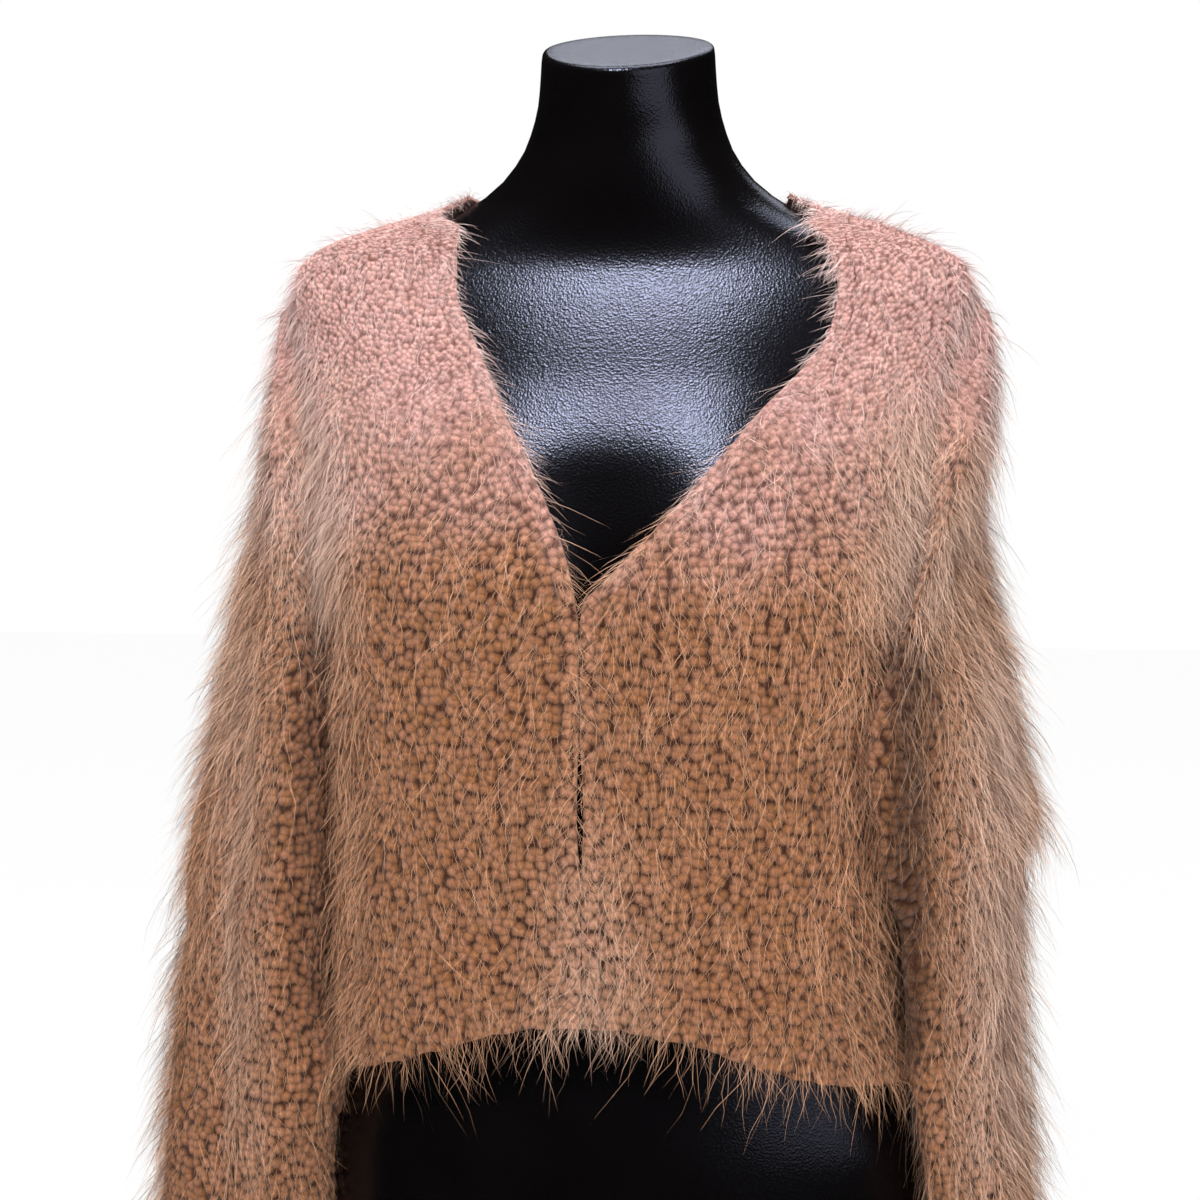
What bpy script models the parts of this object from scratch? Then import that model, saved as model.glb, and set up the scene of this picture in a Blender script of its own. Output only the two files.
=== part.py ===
"""Cropped cardigan with dropped shoulders and a deep V neck, hanging on a limbless dress form.

Metres, +Z up. The form stands on Z = 0 and faces -Y, so the wearer's left is +X.
The knit is one draped skin, worked out from sections of the body and of the sleeves, then cut into its
pieces along the seams. Each piece is a wall of the knit's own thickness.
"""

import math

import bmesh
import bpy
from mathutils import Vector

# Knit
KNIT_THICK = 0.0040
BAND_THICK = 0.0046
BAND_PROUD = 0.0004
BAND_WIDE = 0.0100
SEAM_GAP = 0.0003
SEAM_EASE = 0.8

# Heights and places on the garment
HEM_CENTRE_Z = 0.206
HEM_SIDE_Z = 0.166
HEM_BACK_Z = 0.166
HEM_RISE_POWER = 6
V_POINT_Z = 0.450
UNDERARM_Z = 0.440
SHOULDER_TIP_Z = 0.622
NECK_SIDE_SEAM_Z = 0.6735
NECK_SIDE_EDGE_Z = 0.6790
NECK_BACK_SEAM_Z = 0.6540
NECK_BACK_EDGE_Z = 0.6630
CLOSING_X = -0.008
ARMHOLE_FRONT_TURN = 24.0
ARMHOLE_BACK_TURN = 22.0
SLEEVE_CLEARANCE = 0.0016
SLEEVE_HELD_SHARE = 0.22
SLEEVE_CLEAR_SHARE = 0.06
BODY_FOLD_FADE = 0.4
SLOPE_STEP = 0.004
STEEPEST_NECKLINE = 1.2

# How finely each piece is cut into faces
LOWER_ROWS = 10
UPPER_ROWS = 10
SEAM_CROWDING = 0.35
FRONT_COLUMNS = 8
NECK_COLUMNS = 4
SLEEVE_RINGS = 20
FORM_AROUND = 40

# Hooks and eyes behind the front edges
HOOK_HEIGHTS = (0.432, 0.380, 0.284, 0.222)
PLATE_WIDE = 0.0065
PLATE_HIGH = 0.0060
PLATE_THICK = 0.0008
TONGUE_HIGH = 0.0022
TONGUE_SHARE = 0.7

# Cardigan body, outer face of the knit: height, half width, front depth, back depth, squareness
BODY_SECTIONS = (
    (0.150, 0.1785, 0.121, 0.118, 2.6),
    (0.200, 0.1785, 0.124, 0.117, 2.6),
    (0.300, 0.1780, 0.129, 0.115, 2.6),
    (0.400, 0.1780, 0.134, 0.113, 2.6),
    (0.450, 0.1790, 0.134, 0.112, 2.6),
    (0.500, 0.1830, 0.118, 0.112, 2.6),
    (0.550, 0.1910, 0.095, 0.109, 2.6),
    (0.590, 0.1980, 0.074, 0.102, 2.6),
    (0.618, 0.2025, 0.061, 0.091, 2.6),
    (0.635, 0.1985, 0.054, 0.082, 2.5),
    (0.648, 0.1820, 0.052, 0.076, 2.4),
    (0.658, 0.1540, 0.051, 0.071, 2.3),
    (0.667, 0.1230, 0.051, 0.067, 2.2),
    (0.677, 0.0990, 0.053, 0.063, 2.1),
    (0.687, 0.0860, 0.055, 0.060, 2.1),
)

# Neckline, outer edge of the band: height, x on the wearer's left, x on the wearer's right
NECKLINE = (
    (0.450, -0.0040, -0.0100),
    (0.480, 0.0250, -0.0190),
    (0.505, 0.0480, -0.0310),
    (0.530, 0.0690, -0.0440),
    (0.555, 0.0890, -0.0590),
    (0.575, 0.1080, -0.0690),
    (0.600, 0.1250, -0.0830),
    (0.622, 0.1285, -0.0930),
    (0.650, 0.1210, -0.0950),
    (0.665, 0.1070, -0.0940),
    (0.679, 0.0955, -0.0955),
)

# Gap between the two front edges: height, gap
CLOSING_GAPS = (
    (0.150, 0.0010),
    (0.222, 0.0008),
    (0.284, 0.0010),
    (0.330, 0.0042),
    (0.380, 0.0010),
    (0.432, 0.0008),
    (0.450, 0.0060),
)

# Sleeves, outer face of the knit. Each row is a ring: outermost x and z, innermost x and z,
# reach to the front, reach to the back, turn of the front towards the body in degrees
SLEEVE_LEFT = (
    (0.2015, 0.622, 0.176, 0.440, 0.050, 0.056, 0.0),
    (0.2130, 0.604, 0.174, 0.430, 0.058, 0.060, 6.0),
    (0.2150, 0.580, 0.168, 0.418, 0.070, 0.058, 14.0),
    (0.2120, 0.545, 0.158, 0.400, 0.086, 0.054, 24.0),
    (0.2045, 0.505, 0.151, 0.378, 0.101, 0.048, 32.0),
    (0.2100, 0.460, 0.150, 0.350, 0.109, 0.044, 35.0),
    (0.2220, 0.415, 0.153, 0.325, 0.110, 0.042, 36.0),
    (0.2330, 0.355, 0.155, 0.300, 0.106, 0.042, 36.0),
    (0.2430, 0.312, 0.160, 0.278, 0.099, 0.042, 34.0),
    (0.2330, 0.285, 0.167, 0.255, 0.092, 0.043, 30.0),
    (0.2330, 0.225, 0.172, 0.205, 0.086, 0.044, 28.0),
    (0.2355, 0.160, 0.177, 0.145, 0.080, 0.044, 24.0),
    (0.2420, 0.100, 0.184, 0.090, 0.074, 0.042, 20.0),
    (0.2460, 0.056, 0.189, 0.050, 0.070, 0.042, 18.0),
)
SLEEVE_RIGHT = (
    (0.2015, 0.622, 0.176, 0.440, 0.050, 0.056, 0.0),
    (0.2130, 0.604, 0.176, 0.430, 0.056, 0.060, 4.0),
    (0.2150, 0.574, 0.173, 0.414, 0.064, 0.060, 10.0),
    (0.2150, 0.530, 0.170, 0.390, 0.074, 0.056, 18.0),
    (0.2250, 0.486, 0.168, 0.360, 0.084, 0.052, 24.0),
    (0.2355, 0.440, 0.168, 0.328, 0.090, 0.050, 28.0),
    (0.2470, 0.390, 0.169, 0.296, 0.092, 0.050, 30.0),
    (0.2600, 0.340, 0.171, 0.262, 0.090, 0.050, 30.0),
    (0.2710, 0.295, 0.172, 0.230, 0.088, 0.050, 28.0),
    (0.2730, 0.245, 0.172, 0.192, 0.084, 0.048, 26.0),
    (0.2810, 0.190, 0.172, 0.152, 0.080, 0.046, 24.0),
    (0.2870, 0.125, 0.173, 0.100, 0.076, 0.044, 22.0),
    (0.2925, 0.056, 0.174, 0.050, 0.072, 0.042, 20.0),
)
SLEEVE_SQUARENESS = 2.25

# Large folds of a sleeve: place round the sleeve (0 outside, 90 front, 180 inside), half width, both in
# degrees, how far it stands out (minus is a furrow), and where it starts and ends along the sleeve
FOLDS_LEFT = (
    (62.0, 20.0, 0.0050, 0.30, 1.05),
    (102.0, 18.0, -0.0060, 0.32, 1.05),
    (138.0, 20.0, 0.0040, 0.25, 0.80),
    (20.0, 18.0, -0.0040, 0.45, 0.95),
    (-45.0, 22.0, 0.0045, 0.30, 1.05),
    (-90.0, 22.0, -0.0050, 0.25, 0.90),
)
FOLDS_RIGHT = (
    (50.0, 20.0, 0.0045, 0.34, 1.05),
    (84.0, 16.0, -0.0055, 0.40, 1.00),
    (118.0, 20.0, 0.0045, 0.28, 1.05),
    (16.0, 18.0, -0.0035, 0.50, 1.00),
    (-50.0, 22.0, 0.0045, 0.35, 1.05),
    (-95.0, 22.0, -0.0050, 0.28, 0.95),
)

# Large folds of the body, round it in degrees (0 front, 90 the wearer's left, 180 back), half width,
# how far it stands out, lowest and highest height
BODY_FOLDS = (
    (34.0, 9.0, 0.0030, 0.120, 0.400),
    (52.0, 9.0, -0.0030, 0.120, 0.420),
    (-30.0, 9.0, 0.0028, 0.120, 0.380),
    (-50.0, 9.0, -0.0030, 0.120, 0.430),
    (150.0, 12.0, 0.0035, 0.120, 0.440),
    (128.0, 10.0, -0.0035, 0.120, 0.460),
    (-146.0, 12.0, 0.0035, 0.120, 0.430),
    (-124.0, 10.0, -0.0035, 0.120, 0.460),
    (180.0, 14.0, -0.0025, 0.120, 0.400),
)

# Dress form: height, half width, front depth, back depth, squareness
FORM_SECTIONS = (
    (0.000, 0.1700, 0.094, 0.106, 2.3),
    (0.050, 0.1815, 0.100, 0.116, 2.3),
    (0.110, 0.1830, 0.102, 0.114, 2.3),
    (0.160, 0.1690, 0.099, 0.104, 2.3),
    (0.200, 0.1560, 0.096, 0.092, 2.25),
    (0.280, 0.1280, 0.084, 0.070, 2.2),
    (0.350, 0.1330, 0.085, 0.073, 2.2),
    (0.440, 0.1490, 0.092, 0.086, 2.3),
    (0.520, 0.1630, 0.086, 0.096, 2.4),
    (0.575, 0.1750, 0.069, 0.095, 2.5),
    (0.605, 0.1850, 0.056, 0.085, 2.5),
    (0.625, 0.1840, 0.049, 0.075, 2.5),
    (0.637, 0.1720, 0.041, 0.069, 2.4),
    (0.649, 0.1480, 0.037, 0.065, 2.3),
    (0.658, 0.1250, 0.035, 0.062, 2.2),
    (0.666, 0.1050, 0.035, 0.059, 2.1),
    (0.677, 0.0865, 0.038, 0.055, 2.0),
    (0.692, 0.0700, 0.045, 0.050, 2.05),
    (0.710, 0.0595, 0.048, 0.047, 2.0),
    (0.735, 0.0530, 0.052, 0.043, 2.0),
    (0.765, 0.0508, 0.055, 0.040, 2.0),
)
FORM_HEIGHTS = (
    0.012, 0.040, 0.075, 0.110, 0.145, 0.180, 0.220, 0.265, 0.310, 0.350, 0.385, 0.410, 0.435,
    0.460, 0.485, 0.510, 0.540, 0.565, 0.585, 0.602, 0.616, 0.627, 0.636, 0.645, 0.654, 0.662,
    0.670, 0.679, 0.690, 0.704, 0.722, 0.742, 0.758,
)
BUST_X = 0.082
BUST_Z = 0.452
BUST_PROUD = 0.032
BUST_SPREAD_X = 0.052
BUST_SPREAD_Z = 0.062
NECK_LEAN = 17.0
LEAN_FROM_Z = 0.690
RIM_ROUND = 0.0030

COLOURS = {
    "form": (0.012, 0.012, 0.014, 1.0),
    "knit": (0.42, 0.22, 0.14, 1.0),
    "band": (0.50, 0.26, 0.19, 1.0),
    "wire": (0.55, 0.55, 0.57, 1.0),
}


def clear_scene():
    for thing in list(bpy.data.objects):
        bpy.data.objects.remove(thing, do_unlink=True)


def make_collection(name):
    group = bpy.data.collections.new(name)
    bpy.context.scene.collection.children.link(group)
    return group


def make_material(name, colour, roughness, metallic):
    material = bpy.data.materials.new(name)
    material.use_nodes = True
    shader = material.node_tree.nodes["Principled BSDF"]
    shader.inputs["Base Color"].default_value = colour
    shader.inputs["Roughness"].default_value = roughness
    shader.inputs["Metallic"].default_value = metallic
    return material


def between(low, high, t):
    return low + (high - low) * t


def ease(t):
    t = min(max(t, 0.0), 1.0)
    return t * t * (3.0 - 2.0 * t)


def hump(t):
    """1 in the middle, falling softly to 0 at t = -1 and t = 1."""
    return math.cos(math.pi * min(abs(t), 1.0)) * 0.5 + 0.5


def slopes_of(keys, values):
    """Slopes of a smooth curve through the values that never swings past them."""
    steps = [(values[i + 1] - values[i]) / (keys[i + 1] - keys[i]) for i in range(len(keys) - 1)]
    slopes = [steps[0]]
    for before, after in zip(steps, steps[1:]):
        rising = before * after > 0
        slopes.append(2 * before * after / (before + after) if rising else 0.0)
    slopes.append(steps[-1])
    return slopes


def smooth_curve(rows, column, keys=None):
    """A smooth function through one column of a table, read by its first column or by the given keys."""
    keys = list(keys) if keys else [row[0] for row in rows]
    values = [row[column] for row in rows]
    slopes = slopes_of(keys, values)

    def read(key):
        key = min(max(key, keys[0]), keys[-1])
        i = max(n for n in range(len(keys) - 1) if keys[n] <= key)
        wide = keys[i + 1] - keys[i]
        t = (key - keys[i]) / wide
        start = values[i] * (1 + 2 * t) + slopes[i] * wide * t
        end = values[i + 1] * (3 - 2 * t) - slopes[i + 1] * wide * (1 - t)
        return start * (1 - t) ** 2 + end * t**2

    return read


def sections_of(rows):
    """Half width, front depth, back depth and squareness as functions of height."""
    return [smooth_curve(rows, column) for column in (1, 2, 3, 4)]


BODY = sections_of(BODY_SECTIONS)
FORM = sections_of(FORM_SECTIONS)
NECK_X = {1: smooth_curve(NECKLINE, 1), -1: smooth_curve(NECKLINE, 2)}
CLOSING = smooth_curve(CLOSING_GAPS, 1)


def section_point(sections, angle, z):
    """A point at an angle round a section: 0 is the front, +90 the wearer's left. x and y."""
    wide, front, back, power = (read(z) for read in sections)
    s, c = math.sin(angle), math.cos(angle)
    stretch = (abs(s) ** power + abs(c) ** power) ** (-1.0 / power)
    depth = front if c > 0 else back
    return wide * stretch * s, -depth * stretch * c


def angle_at_x(sections, x, z):
    """The angle of the front point of a section at this x."""
    wide, _front, _back, power = (read(z) for read in sections)
    side = min(abs(x) / wide, 1.0)
    ahead = (1.0 - side**power) ** (1.0 / power)
    return math.copysign(math.atan2(side, ahead), x)


def body_point(angle, z):
    """A point on the outer face of the cardigan's body."""
    x, y = section_point(BODY, angle, z)
    degrees = math.degrees(angle)
    out = 0.0
    for place, half, proud, low, high in BODY_FOLDS:
        turn = (degrees - place + 180.0) % 360.0 - 180.0
        if abs(turn) < half:
            out += proud * hump(turn / half) * ease((high - z) / (BODY_FOLD_FADE * (high - low)))
    far = math.hypot(x, y)
    x, y = x * (1 + out / far), y * (1 + out / far)
    return Vector((x, y, z))


def hem_height(angle):
    """The hem rises at the front, where the bust lifts it."""
    ahead = math.cos(angle)
    if ahead > 0:
        return between(HEM_SIDE_Z, HEM_CENTRE_Z, ahead**HEM_RISE_POWER)
    return between(HEM_SIDE_Z, HEM_BACK_Z, -ahead)


def edge_angle(side, z):
    """The angle of the front edge: the closing below the V point and the neckline above it."""
    if z <= V_POINT_Z:
        return angle_at_x(BODY, CLOSING_X + side * CLOSING(z) / 2, z)
    if z >= NECK_SIDE_EDGE_Z:
        return side * math.pi / 2
    return angle_at_x(BODY, NECK_X[side](z), z)


def seam_angle(side, z):
    """The angle of the seam between the band and the front, a band's width from the edge."""
    if z <= V_POINT_Z:
        edge = CLOSING_X + side * CLOSING(z) / 2
        return angle_at_x(BODY, edge + side * BAND_WIDE, z)
    if z >= NECK_SIDE_SEAM_Z - 1e-6:
        return side * math.pi / 2
    step = SLOPE_STEP
    lean = (NECK_X[side](z + step) - NECK_X[side](z - step)) / (2 * step)
    away = BAND_WIDE * math.sqrt(1 + min(abs(lean), STEEPEST_NECKLINE) ** 2)
    return angle_at_x(BODY, NECK_X[side](z) + side * away, z)


def armhole(side, share, turn):
    """Angle and height of the armhole seam, from the underarm (0) to the shoulder tip (1)."""
    open_by = math.radians(turn) * math.sin(math.pi * share) ** 0.6
    return math.pi / 2 - math.copysign(open_by, turn), between(UNDERARM_Z, SHOULDER_TIP_Z, share)


def upper_share(row):
    """How far up a row lies between the underarm and the shoulder seam: rows crowd towards the seam."""
    share = row / UPPER_ROWS
    return share * (1 + SEAM_CROWDING * (1 - share))


def coons(bottom, top, near, far, u, v):
    """Fills a four-sided patch from its four sides, each a function that returns a pair."""
    def mixed(i):
        ruled = between(bottom(u)[i], top(u)[i], v) + between(near(v)[i], far(v)[i], u)
        low = between(bottom(0)[i], bottom(1)[i], u)
        high = between(top(0)[i], top(1)[i], u)
        return ruled - between(low, high, v)

    return mixed(0), mixed(1)


def front_grid(side):
    """Rows of points of one front, hem first, band seam to side seam and armhole."""
    rows = []
    for row in range(LOWER_ROWS):
        points = []
        for column in range(FRONT_COLUMNS + 1):
            u = column / FRONT_COLUMNS
            z_top = between(V_POINT_Z, UNDERARM_Z, u)
            z_low = hem_height(between(0, math.pi / 2, u))
            z = between(z_low, z_top, row / LOWER_ROWS)
            angle = between(seam_angle(side, z) * side, math.pi / 2, u)
            points.append(body_point(angle * side, z))
        rows.append(points)

    def bottom(u):
        low = seam_angle(side, V_POINT_Z) * side
        return between(low, math.pi / 2, u), between(V_POINT_Z, UNDERARM_Z, u)

    def top(u):
        return math.pi / 2, between(NECK_SIDE_SEAM_Z, SHOULDER_TIP_Z, u)

    def near(v):
        z = between(V_POINT_Z, NECK_SIDE_SEAM_Z, v)
        return seam_angle(side, z) * side, z

    def far(v):
        return armhole(side, v, ARMHOLE_FRONT_TURN)

    for row in range(UPPER_ROWS + 1):
        points = []
        for column in range(FRONT_COLUMNS + 1):
            angle, z = coons(bottom, top, near, far, column / FRONT_COLUMNS, upper_share(row))
            points.append(body_point(angle * side, z))
        rows.append(points)
    return rows


def band_grid(side):
    """Rows of two points, the free edge and the seam, from the hem to the side of the neck."""
    rows = []
    for row in range(LOWER_ROWS):
        z = between(hem_height(0), V_POINT_Z, row / LOWER_ROWS)
        edge = body_point(edge_angle(side, z), z)
        rows.append([edge, body_point(seam_angle(side, z), z)])
    for row in range(UPPER_ROWS + 1):
        v = upper_share(row)
        z_edge = between(V_POINT_Z, NECK_SIDE_EDGE_Z, v)
        z_seam = between(V_POINT_Z, NECK_SIDE_SEAM_Z, v)
        edge = body_point(edge_angle(side, z_edge), z_edge)
        rows.append([edge, body_point(seam_angle(side, z_seam), z_seam)])
    return rows


def back_neck(u, z_side, z_centre):
    """Angle and height of the back neckline, from the middle of the back (0) to the shoulder seam (1)."""
    angle = between(math.pi, math.pi / 2, u)
    return angle, between(z_centre, z_side, math.sin(math.pi / 2 * u) ** 2)


def back_top(u):
    """The top of the back: its neckline, then its shoulder seam."""
    neck_share = NECK_COLUMNS / (NECK_COLUMNS + FRONT_COLUMNS)
    if u <= neck_share:
        return back_neck(u / neck_share, NECK_SIDE_SEAM_Z, NECK_BACK_SEAM_Z)
    along = (u - neck_share) / (1 - neck_share)
    return math.pi / 2, between(NECK_SIDE_SEAM_Z, SHOULDER_TIP_Z, along)


def back_grid(side):
    """Rows of points of half the back, hem first, middle of the back to side seam and armhole."""
    columns = NECK_COLUMNS + FRONT_COLUMNS
    rows = []
    for row in range(LOWER_ROWS):
        points = []
        for column in range(columns + 1):
            angle = between(math.pi, math.pi / 2, column / columns)
            z = between(hem_height(angle), UNDERARM_Z, row / LOWER_ROWS)
            points.append(body_point(angle * side, z))
        rows.append(points)

    def bottom(u):
        return between(math.pi, math.pi / 2, u), UNDERARM_Z

    def near(v):
        return math.pi, between(UNDERARM_Z, NECK_BACK_SEAM_Z, v)

    def far(v):
        return armhole(side, v, -ARMHOLE_BACK_TURN)

    for row in range(UPPER_ROWS + 1):
        points = []
        for column in range(columns + 1):
            angle, z = coons(bottom, back_top, near, far, column / columns, upper_share(row))
            points.append(body_point(angle * side, z))
        rows.append(points)
    return rows


def back_band_grid(side):
    """Two rows of points: the seam and the free edge of half the back neck band."""
    rows = []
    for z_side, z_centre in (
        (NECK_SIDE_SEAM_Z, NECK_BACK_SEAM_Z),
        (NECK_SIDE_EDGE_Z, NECK_BACK_EDGE_Z),
    ):
        points = []
        for column in range(NECK_COLUMNS + 1):
            angle, z = back_neck(column / NECK_COLUMNS, z_side, z_centre)
            points.append(body_point(angle * side, z))
        rows.append(points)
    return rows


def armhole_loop(side):
    """The armhole seam as a ring: shoulder tip, down the front, underarm, up the back."""
    loop = []
    for step in range(2 * UPPER_ROWS):
        down_front = step <= UPPER_ROWS
        share = upper_share(UPPER_ROWS - step if down_front else step - UPPER_ROWS)
        turn = ARMHOLE_FRONT_TURN if down_front else -ARMHOLE_BACK_TURN
        angle, z = armhole(side, share, turn)
        loop.append(body_point(angle * side, z))
    return loop


def pushed_clear(point, gap):
    """Moves a sleeve's point out of the body and the form, to leave a gap."""
    for sections, lowest in ((BODY, BODY_SECTIONS[0][0]), (FORM, 0.0)):
        if point.z < lowest:
            continue
        wide, front, back, power = (read(point.z) for read in sections)
        depth = (front if point.y < 0 else back) + gap
        reach = (abs(point.x / (wide + gap)) ** power + abs(point.y / depth) ** power) ** (1 / power)
        if 0 < reach < 1:
            point = Vector((point.x / reach, point.y / reach, point.z))
    return point


def sleeve_grid(side):
    """Rings of a sleeve from the armhole seam to the cuff."""
    table = SLEEVE_LEFT if side > 0 else SLEEVE_RIGHT
    folds = FOLDS_LEFT if side > 0 else FOLDS_RIGHT
    keys = [i / (len(table) - 1) for i in range(len(table))]
    read = [smooth_curve(table, column, keys) for column in range(7)]
    loop = armhole_loop(side)
    around = len(loop)

    def section(step, s):
        out_x, out_z, in_x, in_z, front, back, turn = (column(s) for column in read)
        theta = 2 * math.pi * step / around
        power = SLEEVE_SQUARENESS
        full = (abs(math.cos(theta)) ** power + abs(math.sin(theta)) ** power) ** (-1 / power)
        out = 0.0
        for place, half, proud, start, end in folds:
            away = (math.degrees(theta) - place + 180.0) % 360.0 - 180.0
            along = (s - start) / (end - start)
            if abs(away) < half and 0 < along < 1:
                out += proud * hump(away / half) * ease(along * 4) * ease((1 - along) * 4 + 0.3)
        across = full * math.cos(theta)
        deep = full * math.sin(theta - math.radians(turn))
        x = (out_x + in_x) / 2 + ((out_x - in_x) / 2 + out) * across
        y = (back - front) / 2 - ((front + back) / 2 + out) * deep
        z = (out_z + in_z) / 2 + (out_z - in_z) / 2 * across
        return Vector((x * side, y, z))

    rings = [loop]
    for ring in range(1, SLEEVE_RINGS + 1):
        s = ring / SLEEVE_RINGS
        held = 1 - ease(s / SLEEVE_HELD_SHARE)
        gap = SLEEVE_CLEARANCE * ease(s / SLEEVE_CLEAR_SHARE)
        points = []
        for step in range(around):
            drift = loop[step] - section(step, 0)
            points.append(pushed_clear(section(step, s) + drift * held, gap))
        rings.append(points)
    return rings


def add_grid(skin, piece, number, rows, closed=False):
    """Adds a grid of points to the skin as faces marked with their piece's number."""
    verts = [[skin.verts.new(point) for point in row] for row in rows]
    columns = len(rows[0])
    for low, high in zip(verts, verts[1:]):
        for i in range(columns if closed else columns - 1):
            j = (i + 1) % columns
            skin.faces.new((low[i], low[j], high[j], high[i]))[piece] = number


def make_skin():
    """The whole knit as one open surface, each face marked with the piece that it belongs to."""
    skin = bmesh.new()
    piece = skin.faces.layers.int.new("piece")
    names = [
        "front_left", "front_right", "back", "sleeve_left", "sleeve_right",
        "band_left", "band_right", "band_back",
    ]
    for side, end in ((1, "left"), (-1, "right")):
        add_grid(skin, piece, names.index("front_" + end), front_grid(side))
        add_grid(skin, piece, names.index("band_" + end), band_grid(side))
        add_grid(skin, piece, names.index("back"), back_grid(side))
        add_grid(skin, piece, names.index("band_back"), back_band_grid(side))
        add_grid(skin, piece, names.index("sleeve_" + end), sleeve_grid(side), closed=True)
    bmesh.ops.remove_doubles(skin, verts=skin.verts, dist=0.00002)
    bmesh.ops.recalc_face_normals(skin, faces=skin.faces)
    back = names.index("back")
    facing = sum(face.normal.y for face in skin.faces if face[piece] == back)
    if facing < 0:
        bmesh.ops.reverse_faces(skin, faces=skin.faces)
    skin.normal_update()
    return skin, piece, names


def drawn_back(vert, piece, number):
    """The point, moved into its own piece by half the gap, square to each seam that meets there."""
    half_gap = SEAM_GAP * SEAM_EASE
    inward = []
    for edge in vert.link_edges:
        own = [face for face in edge.link_faces if face[piece] == number]
        if len(own) == 1 and len(edge.link_faces) == 2:
            along = (edge.other_vert(vert).co - vert.co).normalized()
            aim = own[0].calc_center_median() - vert.co
            aim -= vert.normal * aim.dot(vert.normal)
            along -= vert.normal * along.dot(vert.normal)
            along.normalize()
            inward.append((aim - along * aim.dot(along)).normalized())
    own = [face for face in vert.link_faces if face[piece] == number]
    if len(own) == len(vert.link_faces):
        return vert.co.copy()
    aim = sum((face.calc_center_median() for face in own), Vector()) / len(own) - vert.co
    if not inward:
        inward = [(aim - vert.normal * aim.dot(vert.normal)).normalized()]
    spread = max(1 + inward[0].dot(inward[1]), 0.4) if len(inward) > 1 else 1.0
    moved = sum(inward[:2], Vector()) * (half_gap / spread)
    valley = max(aim.normalized().dot(vert.normal), 0.0)
    own_normal = sum((face.normal for face in own), Vector()).normalized()
    return vert.co + moved - own_normal * (2 * half_gap * valley)


def halves(face):
    """A face of the skin as triangles. A four-sided one is cut along its shorter diagonal."""
    if len(face.verts) == 3:
        return [tuple(face.verts)]
    a, b, c, d = face.verts
    if (a.co - c.co).length <= (b.co - d.co).length:
        return [(a, b, c), (a, c, d)]
    return [(a, b, d), (b, c, d)]


def rim_crosses_down(a, b):
    """Whether the rim between two points is cut from a's outer face to b's inner face, the shorter way."""
    down = (a.co - b.co + b.normal * KNIT_THICK).length
    up = (b.co - a.co + a.normal * KNIT_THICK).length
    if abs(down - up) < 1e-6:
        return a.index < b.index
    return down < up


def cut_piece(skin, piece, number, thick, proud):
    """One piece of the skin as a closed wall, drawn back from its seams by half their gap."""
    faces = [face for face in skin.faces if face[piece] == number]
    verts = {vert for face in faces for vert in face.verts}
    outer, inner = {}, {}
    wall = bmesh.new()
    for vert in sorted(verts, key=lambda v: v.index):
        point = drawn_back(vert, piece, number)
        outer[vert] = wall.verts.new(point + vert.normal * proud)
        inner[vert] = wall.verts.new(point - vert.normal * (thick - proud))
    for face in faces:
        for half in halves(face):
            wall.faces.new([outer[vert] for vert in half])
            wall.faces.new([inner[vert] for vert in reversed(half)])
    for face in faces:
        for loop in face.loops:
            own = [f for f in loop.edge.link_faces if f[piece] == number]
            if len(own) == 1:
                a, b = loop.vert, loop.link_loop_next.vert
                if rim_crosses_down(a, b):
                    wall.faces.new((outer[b], outer[a], inner[b]))
                    wall.faces.new((outer[a], inner[a], inner[b]))
                else:
                    wall.faces.new((outer[b], outer[a], inner[a]))
                    wall.faces.new((outer[b], inner[a], inner[b]))
    return wall


def add_object(group, name, mesh_data, material, smooth=True):
    mesh = bpy.data.meshes.new(name)
    mesh_data.to_mesh(mesh)
    mesh_data.free()
    thing = bpy.data.objects.new(name, mesh)
    group.objects.link(thing)
    mesh.materials.append(material)
    if smooth:
        mesh.shade_smooth()
        mesh.set_sharp_from_angle(angle=math.radians(50))
    return thing


def make_knit(group, materials):
    skin, piece, names = make_skin()
    skin.verts.index_update()
    for number, name in enumerate(names):
        is_band = name.startswith("band")
        thick = BAND_THICK if is_band else KNIT_THICK
        proud = BAND_PROUD if is_band else 0.0
        wall = cut_piece(skin, piece, number, thick, proud)
        add_object(group, name, wall, materials["band" if is_band else "knit"])
    skin.free()


def form_point(angle, z):
    """A point on the dress form. The neck leans forward towards its cap."""
    x, y = section_point(FORM, angle, z)
    if math.cos(angle) > 0:
        for side in (-1, 1):
            off_x = (x - side * BUST_X) / BUST_SPREAD_X
            off_z = (z - BUST_Z) / BUST_SPREAD_Z
            y -= BUST_PROUD * math.exp(-off_x * off_x - off_z * off_z) * ease(math.cos(angle) * 3)
    lean = math.tan(math.radians(NECK_LEAN)) * ease((z - LEAN_FROM_Z) / (FORM_SECTIONS[-1][0] - LEAN_FROM_Z))
    return Vector((x, y, z + lean * y))


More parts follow.
